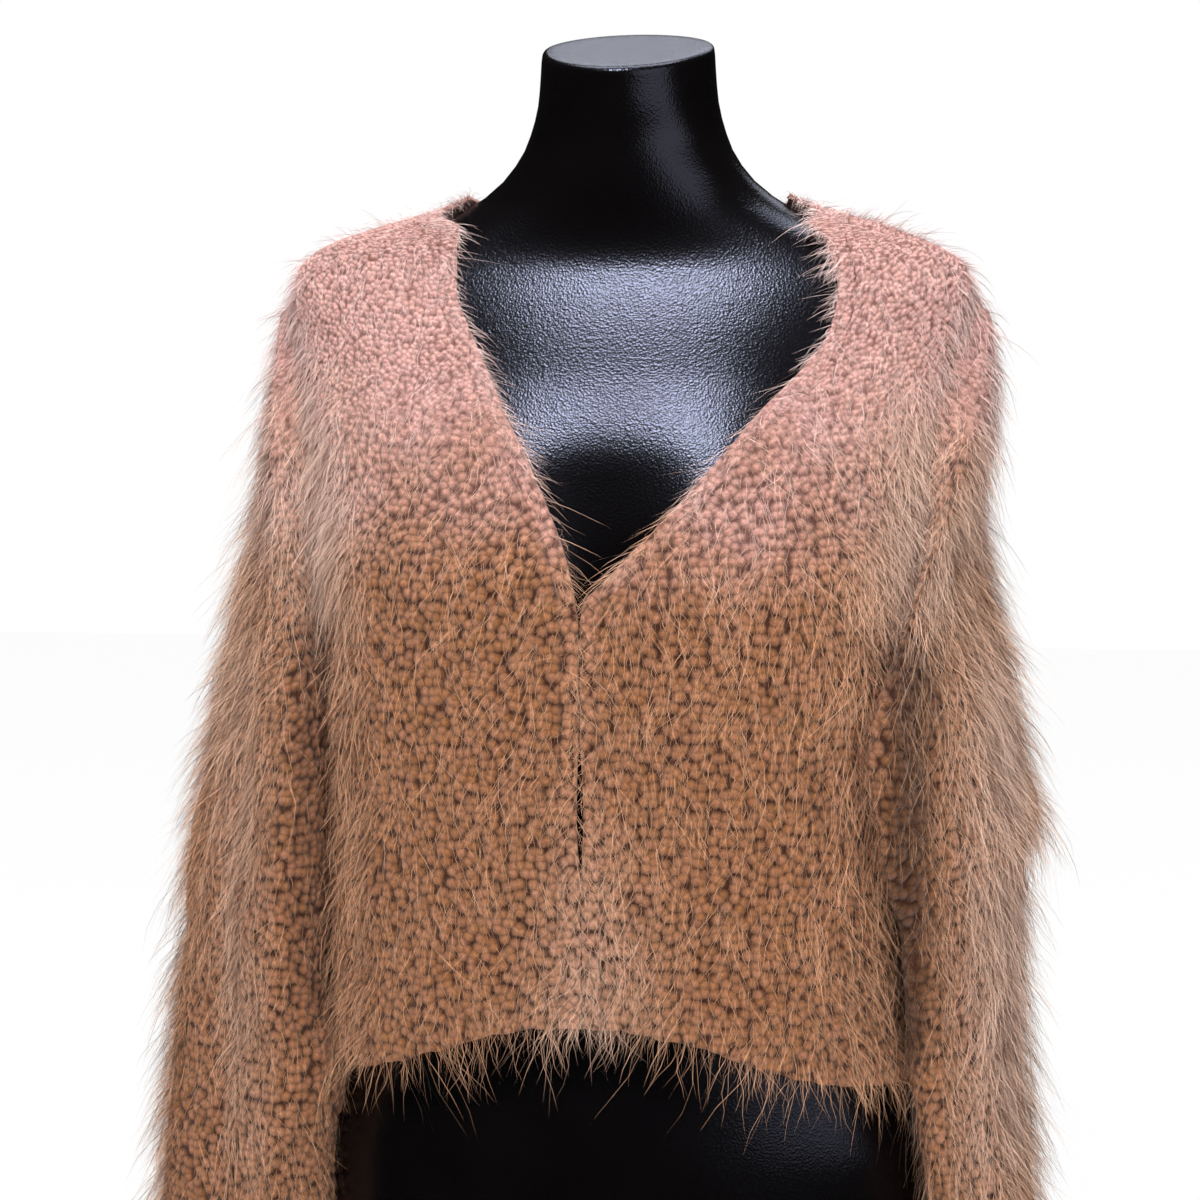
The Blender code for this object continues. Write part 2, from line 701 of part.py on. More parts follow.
def make_form(group, materials):
    """The dress form: one smooth closed body with a flat foot and a flat, tilted neck cap."""
    top = FORM_SECTIONS[-1][0]
    shell = bmesh.new()
    rings = []

    def add_ring(z, inset, drop):
        ring = []
        middle = form_point(0, z).lerp(form_point(math.pi, z), 0.5)
        for step in range(FORM_AROUND):
            point = form_point(2 * math.pi * step / FORM_AROUND, z)
            inward = (middle - point).normalized()
            ring.append(shell.verts.new(point + inward * inset - Vector((0, 0, drop))))
        rings.append(ring)

    add_ring(0.0, RIM_ROUND, 0.0)
    add_ring(RIM_ROUND, 0.0, 0.0)
    for z in FORM_HEIGHTS:
        add_ring(z, 0.0, 0.0)
    for share in (0.0, 0.5, 1.0):
        turn = share * math.pi / 2
        add_ring(top, RIM_ROUND * (1 - math.cos(turn)), RIM_ROUND * (1 - math.sin(turn)))
    for low, high in zip(rings, rings[1:]):
        for i in range(FORM_AROUND):
            j = (i + 1) % FORM_AROUND
            shell.faces.new((low[i], low[j], high[j], high[i]))
    shell.faces.new(list(reversed(rings[0])))
    shell.faces.new(rings[-1])
    bmesh.ops.recalc_face_normals(shell, faces=shell.faces)
    return add_object(group, "dress_form", shell, materials["form"])


def add_box(shell, low, high):
    """A box between two corners."""
    box = bmesh.ops.create_cube(shell, size=1.0)["verts"]
    for vert in box:
        for axis in range(3):
            vert.co[axis] = high[axis] if vert.co[axis] > 0 else low[axis]


def joined(group, name, boxes, material):
    """Boxes joined into one body, each after the first by a Boolean union."""
    things = []
    for low, high in boxes:
        shell = bmesh.new()
        add_box(shell, low, high)
        things.append(add_object(group, name, shell, material, smooth=False))
    base = things[0]
    for other in things[1:]:
        union = base.modifiers.new("join", "BOOLEAN")
        union.operation = "UNION"
        union.solver = "EXACT"
        union.object = other
        bpy.context.view_layer.update()
        done = bpy.data.meshes.new_from_object(base.evaluated_get(bpy.context.evaluated_depsgraph_get()))
        base.modifiers.clear()
        base.data = done
        bpy.data.objects.remove(other, do_unlink=True)
    return base


def make_hooks(group, materials):
    """Flat hooks on the wearer's right edge, each with its tongue behind an eye on the left edge."""
    for number, z in enumerate(HOOK_HEIGHTS, start=1):
        inside = max(body_point(edge_angle(side, h), h).y for side in (-1, 1)
                     for h in (z - PLATE_HIGH / 2, z, z + PLATE_HIGH / 2))
        y_near = inside + BAND_THICK - BAND_PROUD + SEAM_GAP
        y_far = y_near + PLATE_THICK
        half_gap = CLOSING(z) / 2
        low_z, high_z = z - PLATE_HIGH / 2, z + PLATE_HIGH / 2
        right_x = CLOSING_X - half_gap - SEAM_GAP
        left_x = CLOSING_X + half_gap + SEAM_GAP
        plate = ((right_x - PLATE_WIDE, y_near, low_z), (right_x, y_far, high_z))
        riser = (
            (right_x - PLATE_THICK, y_near, z - TONGUE_HIGH / 2),
            (right_x, y_far + SEAM_GAP + PLATE_THICK, z + TONGUE_HIGH / 2),
        )
        tongue = (
            (right_x - PLATE_THICK, y_far + SEAM_GAP, z - TONGUE_HIGH / 2),
            (left_x + PLATE_WIDE * TONGUE_SHARE, y_far + SEAM_GAP + PLATE_THICK, z + TONGUE_HIGH / 2),
        )
        joined(group, f"hook_{number}", (plate, riser, tongue), materials["wire"])
        eye = ((left_x, y_near, low_z), (left_x + PLATE_WIDE, y_far, high_z))
        joined(group, f"eye_{number}", (eye,), materials["wire"])


def main():
    clear_scene()
    group = make_collection("cropped_cardigan_on_dress_form")
    materials = {
        "form": make_material("form", COLOURS["form"], 0.32, 0.0),
        "knit": make_material("knit", COLOURS["knit"], 0.95, 0.0),
        "band": make_material("band", COLOURS["band"], 0.95, 0.0),
        "wire": make_material("wire", COLOURS["wire"], 0.35, 1.0),
    }
    make_form(group, materials)
    make_knit(group, materials)
    make_hooks(group, materials)


main()
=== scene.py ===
"""Looks of the cropped cardigan on its dress form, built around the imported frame.

Metres, +Z up, the form faces -Y. The knit's surfaces are worked out from the same sections as the part:
each piece is a thin shell with its bobbles and creases, and the long hairs are joined tapered strands.
"""

import math

import bpy
import numpy as np
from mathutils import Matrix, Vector


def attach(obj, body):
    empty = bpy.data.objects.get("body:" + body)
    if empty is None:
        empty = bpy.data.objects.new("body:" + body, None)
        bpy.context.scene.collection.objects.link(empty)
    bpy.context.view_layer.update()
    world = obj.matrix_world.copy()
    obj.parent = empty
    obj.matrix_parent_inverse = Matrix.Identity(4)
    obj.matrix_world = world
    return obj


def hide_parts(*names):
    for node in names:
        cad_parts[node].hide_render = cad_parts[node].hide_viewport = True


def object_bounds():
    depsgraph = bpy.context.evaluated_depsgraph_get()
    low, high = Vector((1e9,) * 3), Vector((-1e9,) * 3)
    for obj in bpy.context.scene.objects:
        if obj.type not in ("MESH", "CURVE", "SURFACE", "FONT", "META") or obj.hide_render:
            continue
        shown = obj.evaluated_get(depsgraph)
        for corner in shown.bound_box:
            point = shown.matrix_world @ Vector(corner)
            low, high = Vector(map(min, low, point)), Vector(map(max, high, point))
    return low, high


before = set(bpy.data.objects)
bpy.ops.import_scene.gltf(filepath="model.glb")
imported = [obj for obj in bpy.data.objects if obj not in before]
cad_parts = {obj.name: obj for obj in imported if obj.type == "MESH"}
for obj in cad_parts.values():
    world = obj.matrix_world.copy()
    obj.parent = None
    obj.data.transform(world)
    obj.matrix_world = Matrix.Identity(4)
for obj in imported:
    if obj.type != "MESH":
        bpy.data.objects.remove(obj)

CAD_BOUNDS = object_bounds()

# Knit
KNIT_THICK = 0.0040
BAND_WIDE = 0.0100
BOBBLE = 0.0054
FINE_BOBBLE = 0.0036
FINE_FROM_Z = 0.50
FINE_TO_Z = 0.60
FINE_HIGH_SHARE = 0.7
BAND_HIGH_SHARE = 0.4
BOBBLE_HIGH = 0.0022
BOBBLE_SUNK = 0.0010
BOBBLE_EDGE = 0.66
BOBBLE_SCATTER = 0.85
# Nearness over which the painted shade between the bobbles comes in
BOBBLE_GAP_PAINTED_SHADE = (0.50, 0.72)
RAGGED_ROWS = 10
FLAT_TABLE = (161, 241)
TABLE_END = 0.9999
SLEEVE_LEVELS = 240

# Noises in space: strength, size of the lumps, own seed
CLOTH_LUMPS = ((0.0016, 0.045, 0), (0.0009, 0.017, 8))
RAGGED_EDGE = ((0.0016, 0.0075, 2),)
HAIR_PATCHES = ((0.40, 0.030, 3),)
HAIR_SWIRLS = ((0.45, 0.045, 5), (0.35, 0.018, 6))
HAIR_CLUMPS = ((1.4, 0.007, 7),)
HAIR_TUFTS = ((0.35, 0.009, 9),)

# Heights and places on the garment, as in the part
HEM_CENTRE_Z = 0.206
HEM_SIDE_Z = 0.166
HEM_BACK_Z = 0.166
HEM_RISE_POWER = 6
V_POINT_Z = 0.450
UNDERARM_Z = 0.440
SHOULDER_TIP_Z = 0.622
NECK_SIDE_SEAM_Z = 0.6735
NECK_SIDE_EDGE_Z = 0.6790
NECK_BACK_SEAM_Z = 0.6540
NECK_BACK_EDGE_Z = 0.6630
CLOSING_X = -0.008
ARMHOLE_FRONT_TURN = 24.0
ARMHOLE_BACK_TURN = 22.0
ARMHOLE_ROUNDNESS = 0.6
SLEEVE_CLEARANCE = 0.0016
SLEEVE_HELD_SHARE = 0.22
SLEEVE_CLEAR_SHARE = 0.06
SLEEVE_SQUARENESS = 2.25
SLEEVE_FOLD_FADE = 4
SLEEVE_FOLD_LEFT = 0.3
BODY_FOLD_FADE = 0.4
SLOPE_STEP = 0.004
STEEPEST_NECKLINE = 1.2
SEAM_BLEND = 0.018
SEAT_BLEND = 0.010
NECK_SHARE = 1 / 3

# Cardigan body, outer face of the knit: height, half width, front depth, back depth, squareness
BODY_SECTIONS = (
    (0.150, 0.1785, 0.121, 0.118, 2.6),
    (0.200, 0.1785, 0.124, 0.117, 2.6),
    (0.300, 0.1780, 0.129, 0.115, 2.6),
    (0.400, 0.1780, 0.134, 0.113, 2.6),
    (0.450, 0.1790, 0.134, 0.112, 2.6),
    (0.500, 0.1830, 0.118, 0.112, 2.6),
    (0.550, 0.1910, 0.095, 0.109, 2.6),
    (0.590, 0.1980, 0.074, 0.102, 2.6),
    (0.618, 0.2025, 0.061, 0.091, 2.6),
    (0.635, 0.1985, 0.054, 0.082, 2.5),
    (0.648, 0.1820, 0.052, 0.076, 2.4),
    (0.658, 0.1540, 0.051, 0.071, 2.3),
    (0.667, 0.1230, 0.051, 0.067, 2.2),
    (0.677, 0.0990, 0.053, 0.063, 2.1),
    (0.687, 0.0860, 0.055, 0.060, 2.1),
)
BODY_LOW_Z = BODY_SECTIONS[0][0]
BODY_HIGH_Z = BODY_SECTIONS[-1][0]

# Neckline, outer edge of the band: height, x on the wearer's left, x on the wearer's right
NECKLINE = (
    (0.450, -0.0040, -0.0100),
    (0.480, 0.0250, -0.0190),
    (0.505, 0.0480, -0.0310),
    (0.530, 0.0690, -0.0440),
    (0.555, 0.0890, -0.0590),
    (0.575, 0.1080, -0.0690),
    (0.600, 0.1250, -0.0830),
    (0.622, 0.1285, -0.0930),
    (0.650, 0.1210, -0.0950),
    (0.665, 0.1070, -0.0940),
    (0.679, 0.0955, -0.0955),
)

# Gap between the two front edges: height, gap
CLOSING_GAPS = (
    (0.150, 0.0010),
    (0.222, 0.0008),
    (0.284, 0.0010),
    (0.330, 0.0042),
    (0.380, 0.0010),
    (0.432, 0.0008),
    (0.450, 0.0060),
)

# Sleeves, outer face of the knit. Each row is a ring: outermost x and z, innermost x and z,
# reach to the front, reach to the back, turn of the front towards the body in degrees
SLEEVE_LEFT = (
    (0.2015, 0.622, 0.176, 0.440, 0.050, 0.056, 0.0),
    (0.2130, 0.604, 0.174, 0.430, 0.058, 0.060, 6.0),
    (0.2150, 0.580, 0.168, 0.418, 0.070, 0.058, 14.0),
    (0.2120, 0.545, 0.158, 0.400, 0.086, 0.054, 24.0),
    (0.2045, 0.505, 0.151, 0.378, 0.101, 0.048, 32.0),
    (0.2100, 0.460, 0.150, 0.350, 0.109, 0.044, 35.0),
    (0.2220, 0.415, 0.153, 0.325, 0.110, 0.042, 36.0),
    (0.2330, 0.355, 0.155, 0.300, 0.106, 0.042, 36.0),
    (0.2430, 0.312, 0.160, 0.278, 0.099, 0.042, 34.0),
    (0.2330, 0.285, 0.167, 0.255, 0.092, 0.043, 30.0),
    (0.2330, 0.225, 0.172, 0.205, 0.086, 0.044, 28.0),
    (0.2355, 0.160, 0.177, 0.145, 0.080, 0.044, 24.0),
    (0.2420, 0.100, 0.184, 0.090, 0.074, 0.042, 20.0),
    (0.2460, 0.056, 0.189, 0.050, 0.070, 0.042, 18.0),
)
SLEEVE_RIGHT = (
    (0.2015, 0.622, 0.176, 0.440, 0.050, 0.056, 0.0),
    (0.2130, 0.604, 0.176, 0.430, 0.056, 0.060, 4.0),
    (0.2150, 0.574, 0.173, 0.414, 0.064, 0.060, 10.0),
    (0.2150, 0.530, 0.170, 0.390, 0.074, 0.056, 18.0),
    (0.2250, 0.486, 0.168, 0.360, 0.084, 0.052, 24.0),
    (0.2355, 0.440, 0.168, 0.328, 0.090, 0.050, 28.0),
    (0.2470, 0.390, 0.169, 0.296, 0.092, 0.050, 30.0),
    (0.2600, 0.340, 0.171, 0.262, 0.090, 0.050, 30.0),
    (0.2710, 0.295, 0.172, 0.230, 0.088, 0.050, 28.0),
    (0.2730, 0.245, 0.172, 0.192, 0.084, 0.048, 26.0),
    (0.2810, 0.190, 0.165, 0.152, 0.080, 0.046, 24.0),
    (0.2870, 0.125, 0.173, 0.100, 0.076, 0.044, 22.0),
    (0.2925, 0.056, 0.174, 0.050, 0.072, 0.042, 20.0),
)

# Large folds of a sleeve: place round the sleeve (0 outside, 90 front, 180 inside), half width, both in
# degrees, how far it stands out (minus is a furrow), and where it starts and ends along the sleeve
FOLDS_LEFT = (
    (62.0, 20.0, 0.0050, 0.30, 1.05),
    (102.0, 18.0, -0.0060, 0.32, 1.05),
    (138.0, 20.0, 0.0040, 0.25, 0.80),
    (20.0, 18.0, -0.0040, 0.45, 0.95),
    (-45.0, 22.0, 0.0045, 0.30, 1.05),
    (-90.0, 22.0, -0.0050, 0.25, 0.90),
)
FOLDS_RIGHT = (
    (50.0, 20.0, 0.0045, 0.34, 1.05),
    (84.0, 16.0, -0.0055, 0.40, 1.00),
    (118.0, 20.0, 0.0045, 0.28, 1.05),
    (16.0, 18.0, -0.0035, 0.50, 1.00),
    (-50.0, 22.0, 0.0045, 0.35, 1.05),
    (-95.0, 22.0, -0.0050, 0.28, 0.95),
)

# Large folds of the body, round it in degrees (0 front, 90 the wearer's left, 180 back), half width,
# how far it stands out, lowest and highest height
BODY_FOLDS = (
    (34.0, 9.0, 0.0030, 0.120, 0.400),
    (52.0, 9.0, -0.0030, 0.120, 0.420),
    (-30.0, 9.0, 0.0028, 0.120, 0.380),
    (-50.0, 9.0, -0.0030, 0.120, 0.430),
    (150.0, 12.0, 0.0035, 0.120, 0.440),
    (128.0, 10.0, -0.0035, 0.120, 0.460),
    (-146.0, 12.0, 0.0035, 0.120, 0.430),
    (-124.0, 10.0, -0.0035, 0.120, 0.460),
    (180.0, 14.0, -0.0025, 0.120, 0.400),
)

# Dress form: height, half width, front depth, back depth, squareness
FORM_SECTIONS = (
    (0.000, 0.1700, 0.094, 0.106, 2.3),
    (0.050, 0.1815, 0.100, 0.116, 2.3),
    (0.110, 0.1830, 0.102, 0.114, 2.3),
    (0.160, 0.1690, 0.099, 0.104, 2.3),
    (0.200, 0.1560, 0.096, 0.092, 2.25),
    (0.280, 0.1280, 0.084, 0.070, 2.2),
    (0.350, 0.1330, 0.085, 0.073, 2.2),
    (0.440, 0.1490, 0.092, 0.086, 2.3),
    (0.520, 0.1630, 0.086, 0.096, 2.4),
    (0.575, 0.1750, 0.0675, 0.095, 2.5),
    (0.605, 0.1850, 0.0570, 0.085, 2.5),
    (0.625, 0.1840, 0.0493, 0.075, 2.5),
    (0.637, 0.1720, 0.0445, 0.069, 2.4),
    (0.649, 0.1480, 0.0422, 0.065, 2.3),
    (0.658, 0.1250, 0.0420, 0.062, 2.2),
    (0.666, 0.1050, 0.0428, 0.059, 2.1),
    (0.677, 0.0865, 0.0446, 0.055, 2.0),
    (0.692, 0.0700, 0.0468, 0.050, 2.05),
    (0.710, 0.0595, 0.048, 0.047, 2.0),
    (0.735, 0.0530, 0.052, 0.043, 2.0),
    (0.765, 0.0508, 0.055, 0.040, 2.0),
)
FORM_HIGH_Z = FORM_SECTIONS[-1][0]
BUST_X = 0.082
BUST_Z = 0.452
BUST_PROUD = 0.032
BUST_SPREAD_X = 0.052
BUST_SPREAD_Z = 0.062
BUST_AHEAD = 3
NECK_LEAN = 17.0
LEAN_FROM_Z = 0.690
RIM_ROUND = 0.0030
FORM_AROUND = 96
FORM_RINGS = 84
FOOT_RINGS = 4
RIM_RINGS = 5
FORM_FIRST_Z = 0.008
FORM_LAST_DROP = 0.006
CAP_INSETS = (0.010, 0.022, 0.034)
FORM_SHARP_FROM = 40

# Camera, at the photograph's angle
VIEW_TURN = 9.0
VIEW_RISE = 5.0
VIEW_FAR = 1.70
VIEW_LENS = 85.0
VIEW_SENSOR = 36.0
VIEW_AIM = (-0.017, 0.0, 0.438)

# Lights: name, place, height aimed at on the middle line, width, height, watts, colour
LIGHTS = (
    ("key", (-0.22, -1.50, 2.26), 0.5, 0.50, 0.5, 55, (1.0, 0.98, 0.97)),
    ("fill", (1.7, -1.9, 0.9), 0.4, 2.2, 1.6, 22, (1.0, 0.98, 0.96)),
    ("top", (0.0, 0.2, 2.6), 0.5, 1.8, 1.2, 52, (0.94, 0.96, 1.0)),
    ("back", (0.2, 2.2, 2.4), 0.6, 1.8, 1.0, 12, (0.84, 0.87, 1.0)),
)
WORLD_AMBIENT = 0.22
WORLD_MIRRORED = 0.012
FLOOR_REACH = 4.0
FLOOR_WHITE = 0.97

# Fineness of each shell: cells across and along, and how many of them one cell of the lining face spans
FRONT_CELLS = (114, 264, 6)
BACK_CELLS = (144, 192, 6)
SLEEVE_CELLS = (168, 276, 6)
BAND_CELLS = (6, 330, 3)
BAND_BACK_CELLS = (6, 150, 3)

# Number of long and of short hairs on each piece
HAIRS = {
    "front": (8200, 8000),
    "back": (6200, 6000),
    "sleeve": (12500, 18000),
    "band": (1700, 1500),
    "band_back": (800, 900),
}

QUICK_SHARE = 1

# Seeds of the random draws. The wearer's left has one more and the right one less
SEEDS = {"front": 11, "sleeve": 21, "band": 31, "back": 41, "band_back": 43}
HAIR_SEED = 100

# A hair's spine, from root to tip: place along it and width there as a share of the root's
LONG_HAIR = ((0.0, 1.0), (0.28, 0.90), (0.54, 0.75), (0.78, 0.50), (1.0, 0.0))
SHORT_HAIR = ((0.0, 1.0), (0.5, 0.7), (1.0, 0.0))

# Painted shade in the crease beside each sleeve: x, half width and darkness, and the heights between which
# it fades
PAINTED_CREASE_SHADES = ((0.173, 0.015, 1.0), (-0.175, 0.014, 0.45))
CREASE_TOP = (0.455, 0.405)
CREASE_FOOT = (0.160, 0.210)

# Haze, where the hair lies thick and pale; on the sleeve ridges its paleness is partly a painted
# highlight. A pair is a middle and a half width, or a fade's two ends
HAZE_CLOSING = 0.6
HAZE_CLOSING_X = (CLOSING_X + 0.006, 0.034)
HAZE_CLOSING_TOP = (0.37, 0.24)
HAZE_ARMHOLE_X = (0.172, 0.030)
HAZE_ARMHOLE_Z = (0.50, 0.07)
RIDGE_HAZE_AND_PAINTED_LIGHT = (0.85, 0.45)
HAZE_RIDGE_X = (0.217, 0.020)
HAZE_RIDGE_FOOT = (0.06, 0.14)
HAZE_RIDGE_TOP = (0.47, 0.39)
HAZE_AHEAD_Y = (0.025, -0.025)

# Weight of hair on the cloth: its plain and least levels, and what each place adds, takes or keeps
HAIR_LEVEL = 0.7
HAIR_LEAST = 0.15
HAIR_AT_SHOULDERS = 0.6
HAIR_IN_HAZE = 1.5
HAIR_OUTSIDE = 1.8
HAIR_LOST_IN_CREASE = 0.6
HAIR_HIDDEN_SHARE = 0.3
OUTER_SIDE = (0.45, 0.80)
BODY_SIDE_FACING = 0.75
BODY_SIDE_X = 0.182
SLEEVE_INSIDE_FACING = -0.35

# Growth of a hair. A pair is the least and the most, as shares of its length where not in metres
HAIR_LONG = 0.022
HAIR_SHORT = 0.0095
HAIR_LENGTH_SPREAD = 0.34
HAIR_LENGTH_LIMITS = (0.4, 1.7)
FINE_HAIR_SHARE = 0.65
HAIR_HALF_WIDTH = (0.00006, 0.00013)
HAIR_WIDER_OUTSIDE = 0.5
HAIR_ROOT_SUNK = 0.0008
HAIR_LONG_LIFT = 0.9
HAIR_SHORT_LIFT = 2.4
HAIR_OUT = (0.08, 0.62)
HAIR_OUT_MORE = 0.5
HAIR_FALL = (0.50, 1.05)
HAIR_VEER = 0.20
HAIR_HANG = (0.05, 0.50)
HAIR_SAG = 0.12
HAIR_CURL = 0.28
HAIR_PRESSED = 0.45
HAIR_SWAY = (0.03, 0.12)
HAIR_WAVES = 5.5
HAIR_TWIST = 0.75

# Hair of the bands, which grows towards their edge, thicker round the neck
BAND_HAIR_LONG = 0.013
BAND_EDGEWARD = 0.8
EDGE_HAIR = 2.0
EDGE_PULL = 1.5
EDGE_FALL = 0.5
EDGE_VEER = 0.3
EDGE_SAG = 0.7
EDGE_CURL = 0.5
NECK_HAIR = 3.0
NECK_HAIR_Z = (V_POINT_Z, V_POINT_Z + 0.02)
NECK_EDGE_Z = (V_POINT_Z - 0.006, V_POINT_Z + 0.006)
BACK_NECK_HAIR = 4.0
BACK_NECK_HAIR_Z = (0.655, 0.665)

# How far hairs may pass the part's box, and how they take the light
HAIR_REACH_LOW = (0.024, 0.016, -0.0005)
HAIR_REACH_HIGH = (0.024, 0.016, 0.030)
HAIR_CLOTH_SHADING = 0.8
HAIR_SKY_SHADING = np.array([0.0, -0.20, 0.60])
HAIR_SHADE_LEVEL = 0.6

# Looks of the materials
PINK = (0.635, 0.350, 0.316, 1.0)
ROSE = (0.520, 0.250, 0.190, 1.0)
CAMEL = (0.315, 0.128, 0.047, 1.0)
EDGE_CAMEL = (0.400, 0.175, 0.084, 1.0)
# PALE_CAMEL and HAIR_PALE: the haze's pale colours, on the sleeve ridges partly a painted highlight
PALE_CAMEL = (0.620, 0.370, 0.260, 1.0)
# Painted shade in the gaps between the bobbles, under the camel and under the pink
GAP_PAINTED_SHADE = (0.060, 0.018, 0.008, 1.0)
PINK_GAP_PAINTED_SHADE = (0.280, 0.125, 0.105, 1.0)
HAIR_PINK = (0.820, 0.600, 0.560, 1.0)
HAIR_CAMEL = (0.680, 0.375, 0.220, 1.0)
HAIR_PALE = (0.830, 0.590, 0.475, 1.0)
BLACK = (0.0016, 0.0012, 0.0012, 1.0)
SOFT_BLACK = (0.003, 0.0024, 0.0024, 1.0)
STEEL = (0.42, 0.42, 0.44, 1.0)
BRIGHT_STEEL = (0.62, 0.62, 0.64, 1.0)
KNIT_PINK_HEIGHTS = (0.43, 0.60)
EDGE_PINK_HEIGHTS = (0.40, 0.58)
HAIR_PINK_HEIGHTS = (0.44, 0.60)
PINK_WAVER = 0.045
PINK_WAVER_SIZE = 0.09
# How bright the knit and the hair stay deep in the painted crease shade
KNIT_BRIGHTNESS_IN_PAINTED_CREASE_SHADE = 0.32
HAIR_BRIGHTNESS_IN_PAINTED_CREASE_SHADE = 0.55
YARN_GRAIN = 0.0012
PEBBLE = 0.0013
PEBBLE_NOISE = 0.0018
SCRATCH = 0.0006


def between(low, high, t):
    return low + (high - low) * t


def ease(t):
    t = np.clip(t, 0.0, 1.0)
    return t * t * (3.0 - 2.0 * t)


def ramp(value, start, end):
    """0 at the start, softly up to 1 at the end. The end may be the lower one."""
    return ease((value - start) / (end - start))


def bell(value, middle, half):
    """1 in the middle, falling softly to both sides."""
    return np.exp(-((value - middle) / half) ** 2)


def hump(t):
    """1 in the middle, falling to 0 at t = -1 and t = 1."""
    return np.cos(np.pi * np.minimum(np.abs(t), 1.0)) * 0.5 + 0.5


def smooth_curve(keys, values):
    """A smooth function through the values that never swings past them. It reads whole arrays."""
    keys = np.array(keys, float)
    values = np.array(values, float)
    steps = np.diff(values) / np.diff(keys)
    slopes = np.zeros_like(values)
    slopes[0] = steps[0]
    slopes[-1] = steps[-1]
    before, after = steps[:-1], steps[1:]
    rising = before * after > 0
    slopes[1:-1] = np.where(rising, 2 * before * after / np.where(rising, before + after, 1.0), 0.0)

    def read(key):
        key = np.clip(key, keys[0], keys[-1])
        i = np.clip(np.searchsorted(keys, key, side="right") - 1, 0, len(keys) - 2)
        wide = keys[i + 1] - keys[i]
        t = (key - keys[i]) / wide
        start = values[i] * (1 + 2 * t) + slopes[i] * wide * t
        end = values[i + 1] * (3 - 2 * t) - slopes[i + 1] * wide * (1 - t)
        return start * (1 - t) ** 2 + end * t**2

    return read


def column_curve(rows, column):
    return smooth_curve([row[0] for row in rows], [row[column] for row in rows])


def sections_of(rows):
    """Half width, front depth, back depth and squareness as functions of height."""
    return [column_curve(rows, column) for column in (1, 2, 3, 4)]


BODY = sections_of(BODY_SECTIONS)
FORM = sections_of(FORM_SECTIONS)
NECK_X = {1: column_curve(NECKLINE, 1), -1: column_curve(NECKLINE, 2)}
CLOSING = column_curve(CLOSING_GAPS, 1)


def section_xy(sections, angle, z):
    """Points at angles round a section: 0 is the front, +90 the wearer's left."""
    wide, front, back, power = (read(z) for read in sections)
    s, c = np.sin(angle), np.cos(angle)
    stretch = (np.abs(s) ** power + np.abs(c) ** power) ** (-1.0 / power)
    depth = np.where(c > 0, front, back)
    return wide * stretch * s, -depth * stretch * c


def angle_at_x(x, z):
    """The angle of the body's front point at this x."""
    wide, _front, _back, power = (read(z) for read in BODY)
    side = np.minimum(np.abs(x) / wide, 1.0)
    ahead = (1.0 - side**power) ** (1.0 / power)
    return np.arctan2(side, ahead) * np.sign(x)


def body_points(angle, z):
    """Points on the outer face of the cardigan's body."""
    x, y = section_xy(BODY, angle, z)
    degrees = np.degrees(angle)
    out = np.zeros_like(x)
    for place, half, proud, low, high in BODY_FOLDS:
        turn = (degrees - place + 180.0) % 360.0 - 180.0
        out += proud * hump(turn / half) * ease((high - z) / (BODY_FOLD_FADE * (high - low)))
    grow = 1 + out / np.hypot(x, y)
    return np.stack([x * grow, y * grow, z], axis=-1)


def hem_height(angle):
    """The hem rises at the front, where the bust lifts it."""
    ahead = np.cos(angle)
    front = between(HEM_SIDE_Z, HEM_CENTRE_Z, np.maximum(ahead, 0) ** HEM_RISE_POWER)
    return np.where(ahead > 0, front, between(HEM_SIDE_Z, HEM_BACK_Z, np.maximum(-ahead, 0)))


def turned_to_seam(angle, z, top):
    """Brings the neckline's angle to the shoulder seam over its last stretch."""
    share = ease((z - (top - SEAM_BLEND)) / SEAM_BLEND)
    return between(angle, np.pi / 2, share)


def edge_angle(side, z):
    """The angle of the front edge on its own side: the closing, and the neckline above the V point."""
    closing = angle_at_x(CLOSING_X + side * CLOSING(z) / 2, z) * side
    neck = turned_to_seam(angle_at_x(NECK_X[side](z), z) * side, z, NECK_SIDE_EDGE_Z)
    return np.where(z <= V_POINT_Z, closing, neck)


def seam_angle(side, z):
    """The angle of the seam between the band and the front, a band's width from the edge."""
    closing = angle_at_x(CLOSING_X + side * CLOSING(z) / 2 + side * BAND_WIDE, z) * side
    lean = (NECK_X[side](z + SLOPE_STEP) - NECK_X[side](z - SLOPE_STEP)) / (2 * SLOPE_STEP)
    away = BAND_WIDE * np.sqrt(1 + np.minimum(np.abs(lean), STEEPEST_NECKLINE) ** 2)
    neck = angle_at_x(NECK_X[side](z) + side * away, z) * side
    return np.where(z <= V_POINT_Z, closing, turned_to_seam(neck, z, NECK_SIDE_SEAM_Z))


def armhole(share, turn):
    """Angle and height of the armhole seam, from the underarm (0) to the shoulder tip (1)."""
    open_by = np.radians(turn) * np.maximum(np.sin(np.pi * share), 0) ** ARMHOLE_ROUNDNESS
    return np.pi / 2 - open_by, between(UNDERARM_Z, SHOULDER_TIP_Z, share)


def coons(bottom, top, near, far, u, v):
    """Fills a four-sided patch from its four sides, each a function that returns a pair."""
    zero, one = np.zeros_like(u), np.ones_like(u)

    def mixed(i):
        ruled = between(bottom(u)[i], top(u)[i], v) + between(near(v)[i], far(v)[i], u)
        low = between(bottom(zero)[i], bottom(one)[i], u)
        high = between(top(zero)[i], top(one)[i], u)
        return ruled - between(low, high, v)

    return mixed(0), mixed(1)


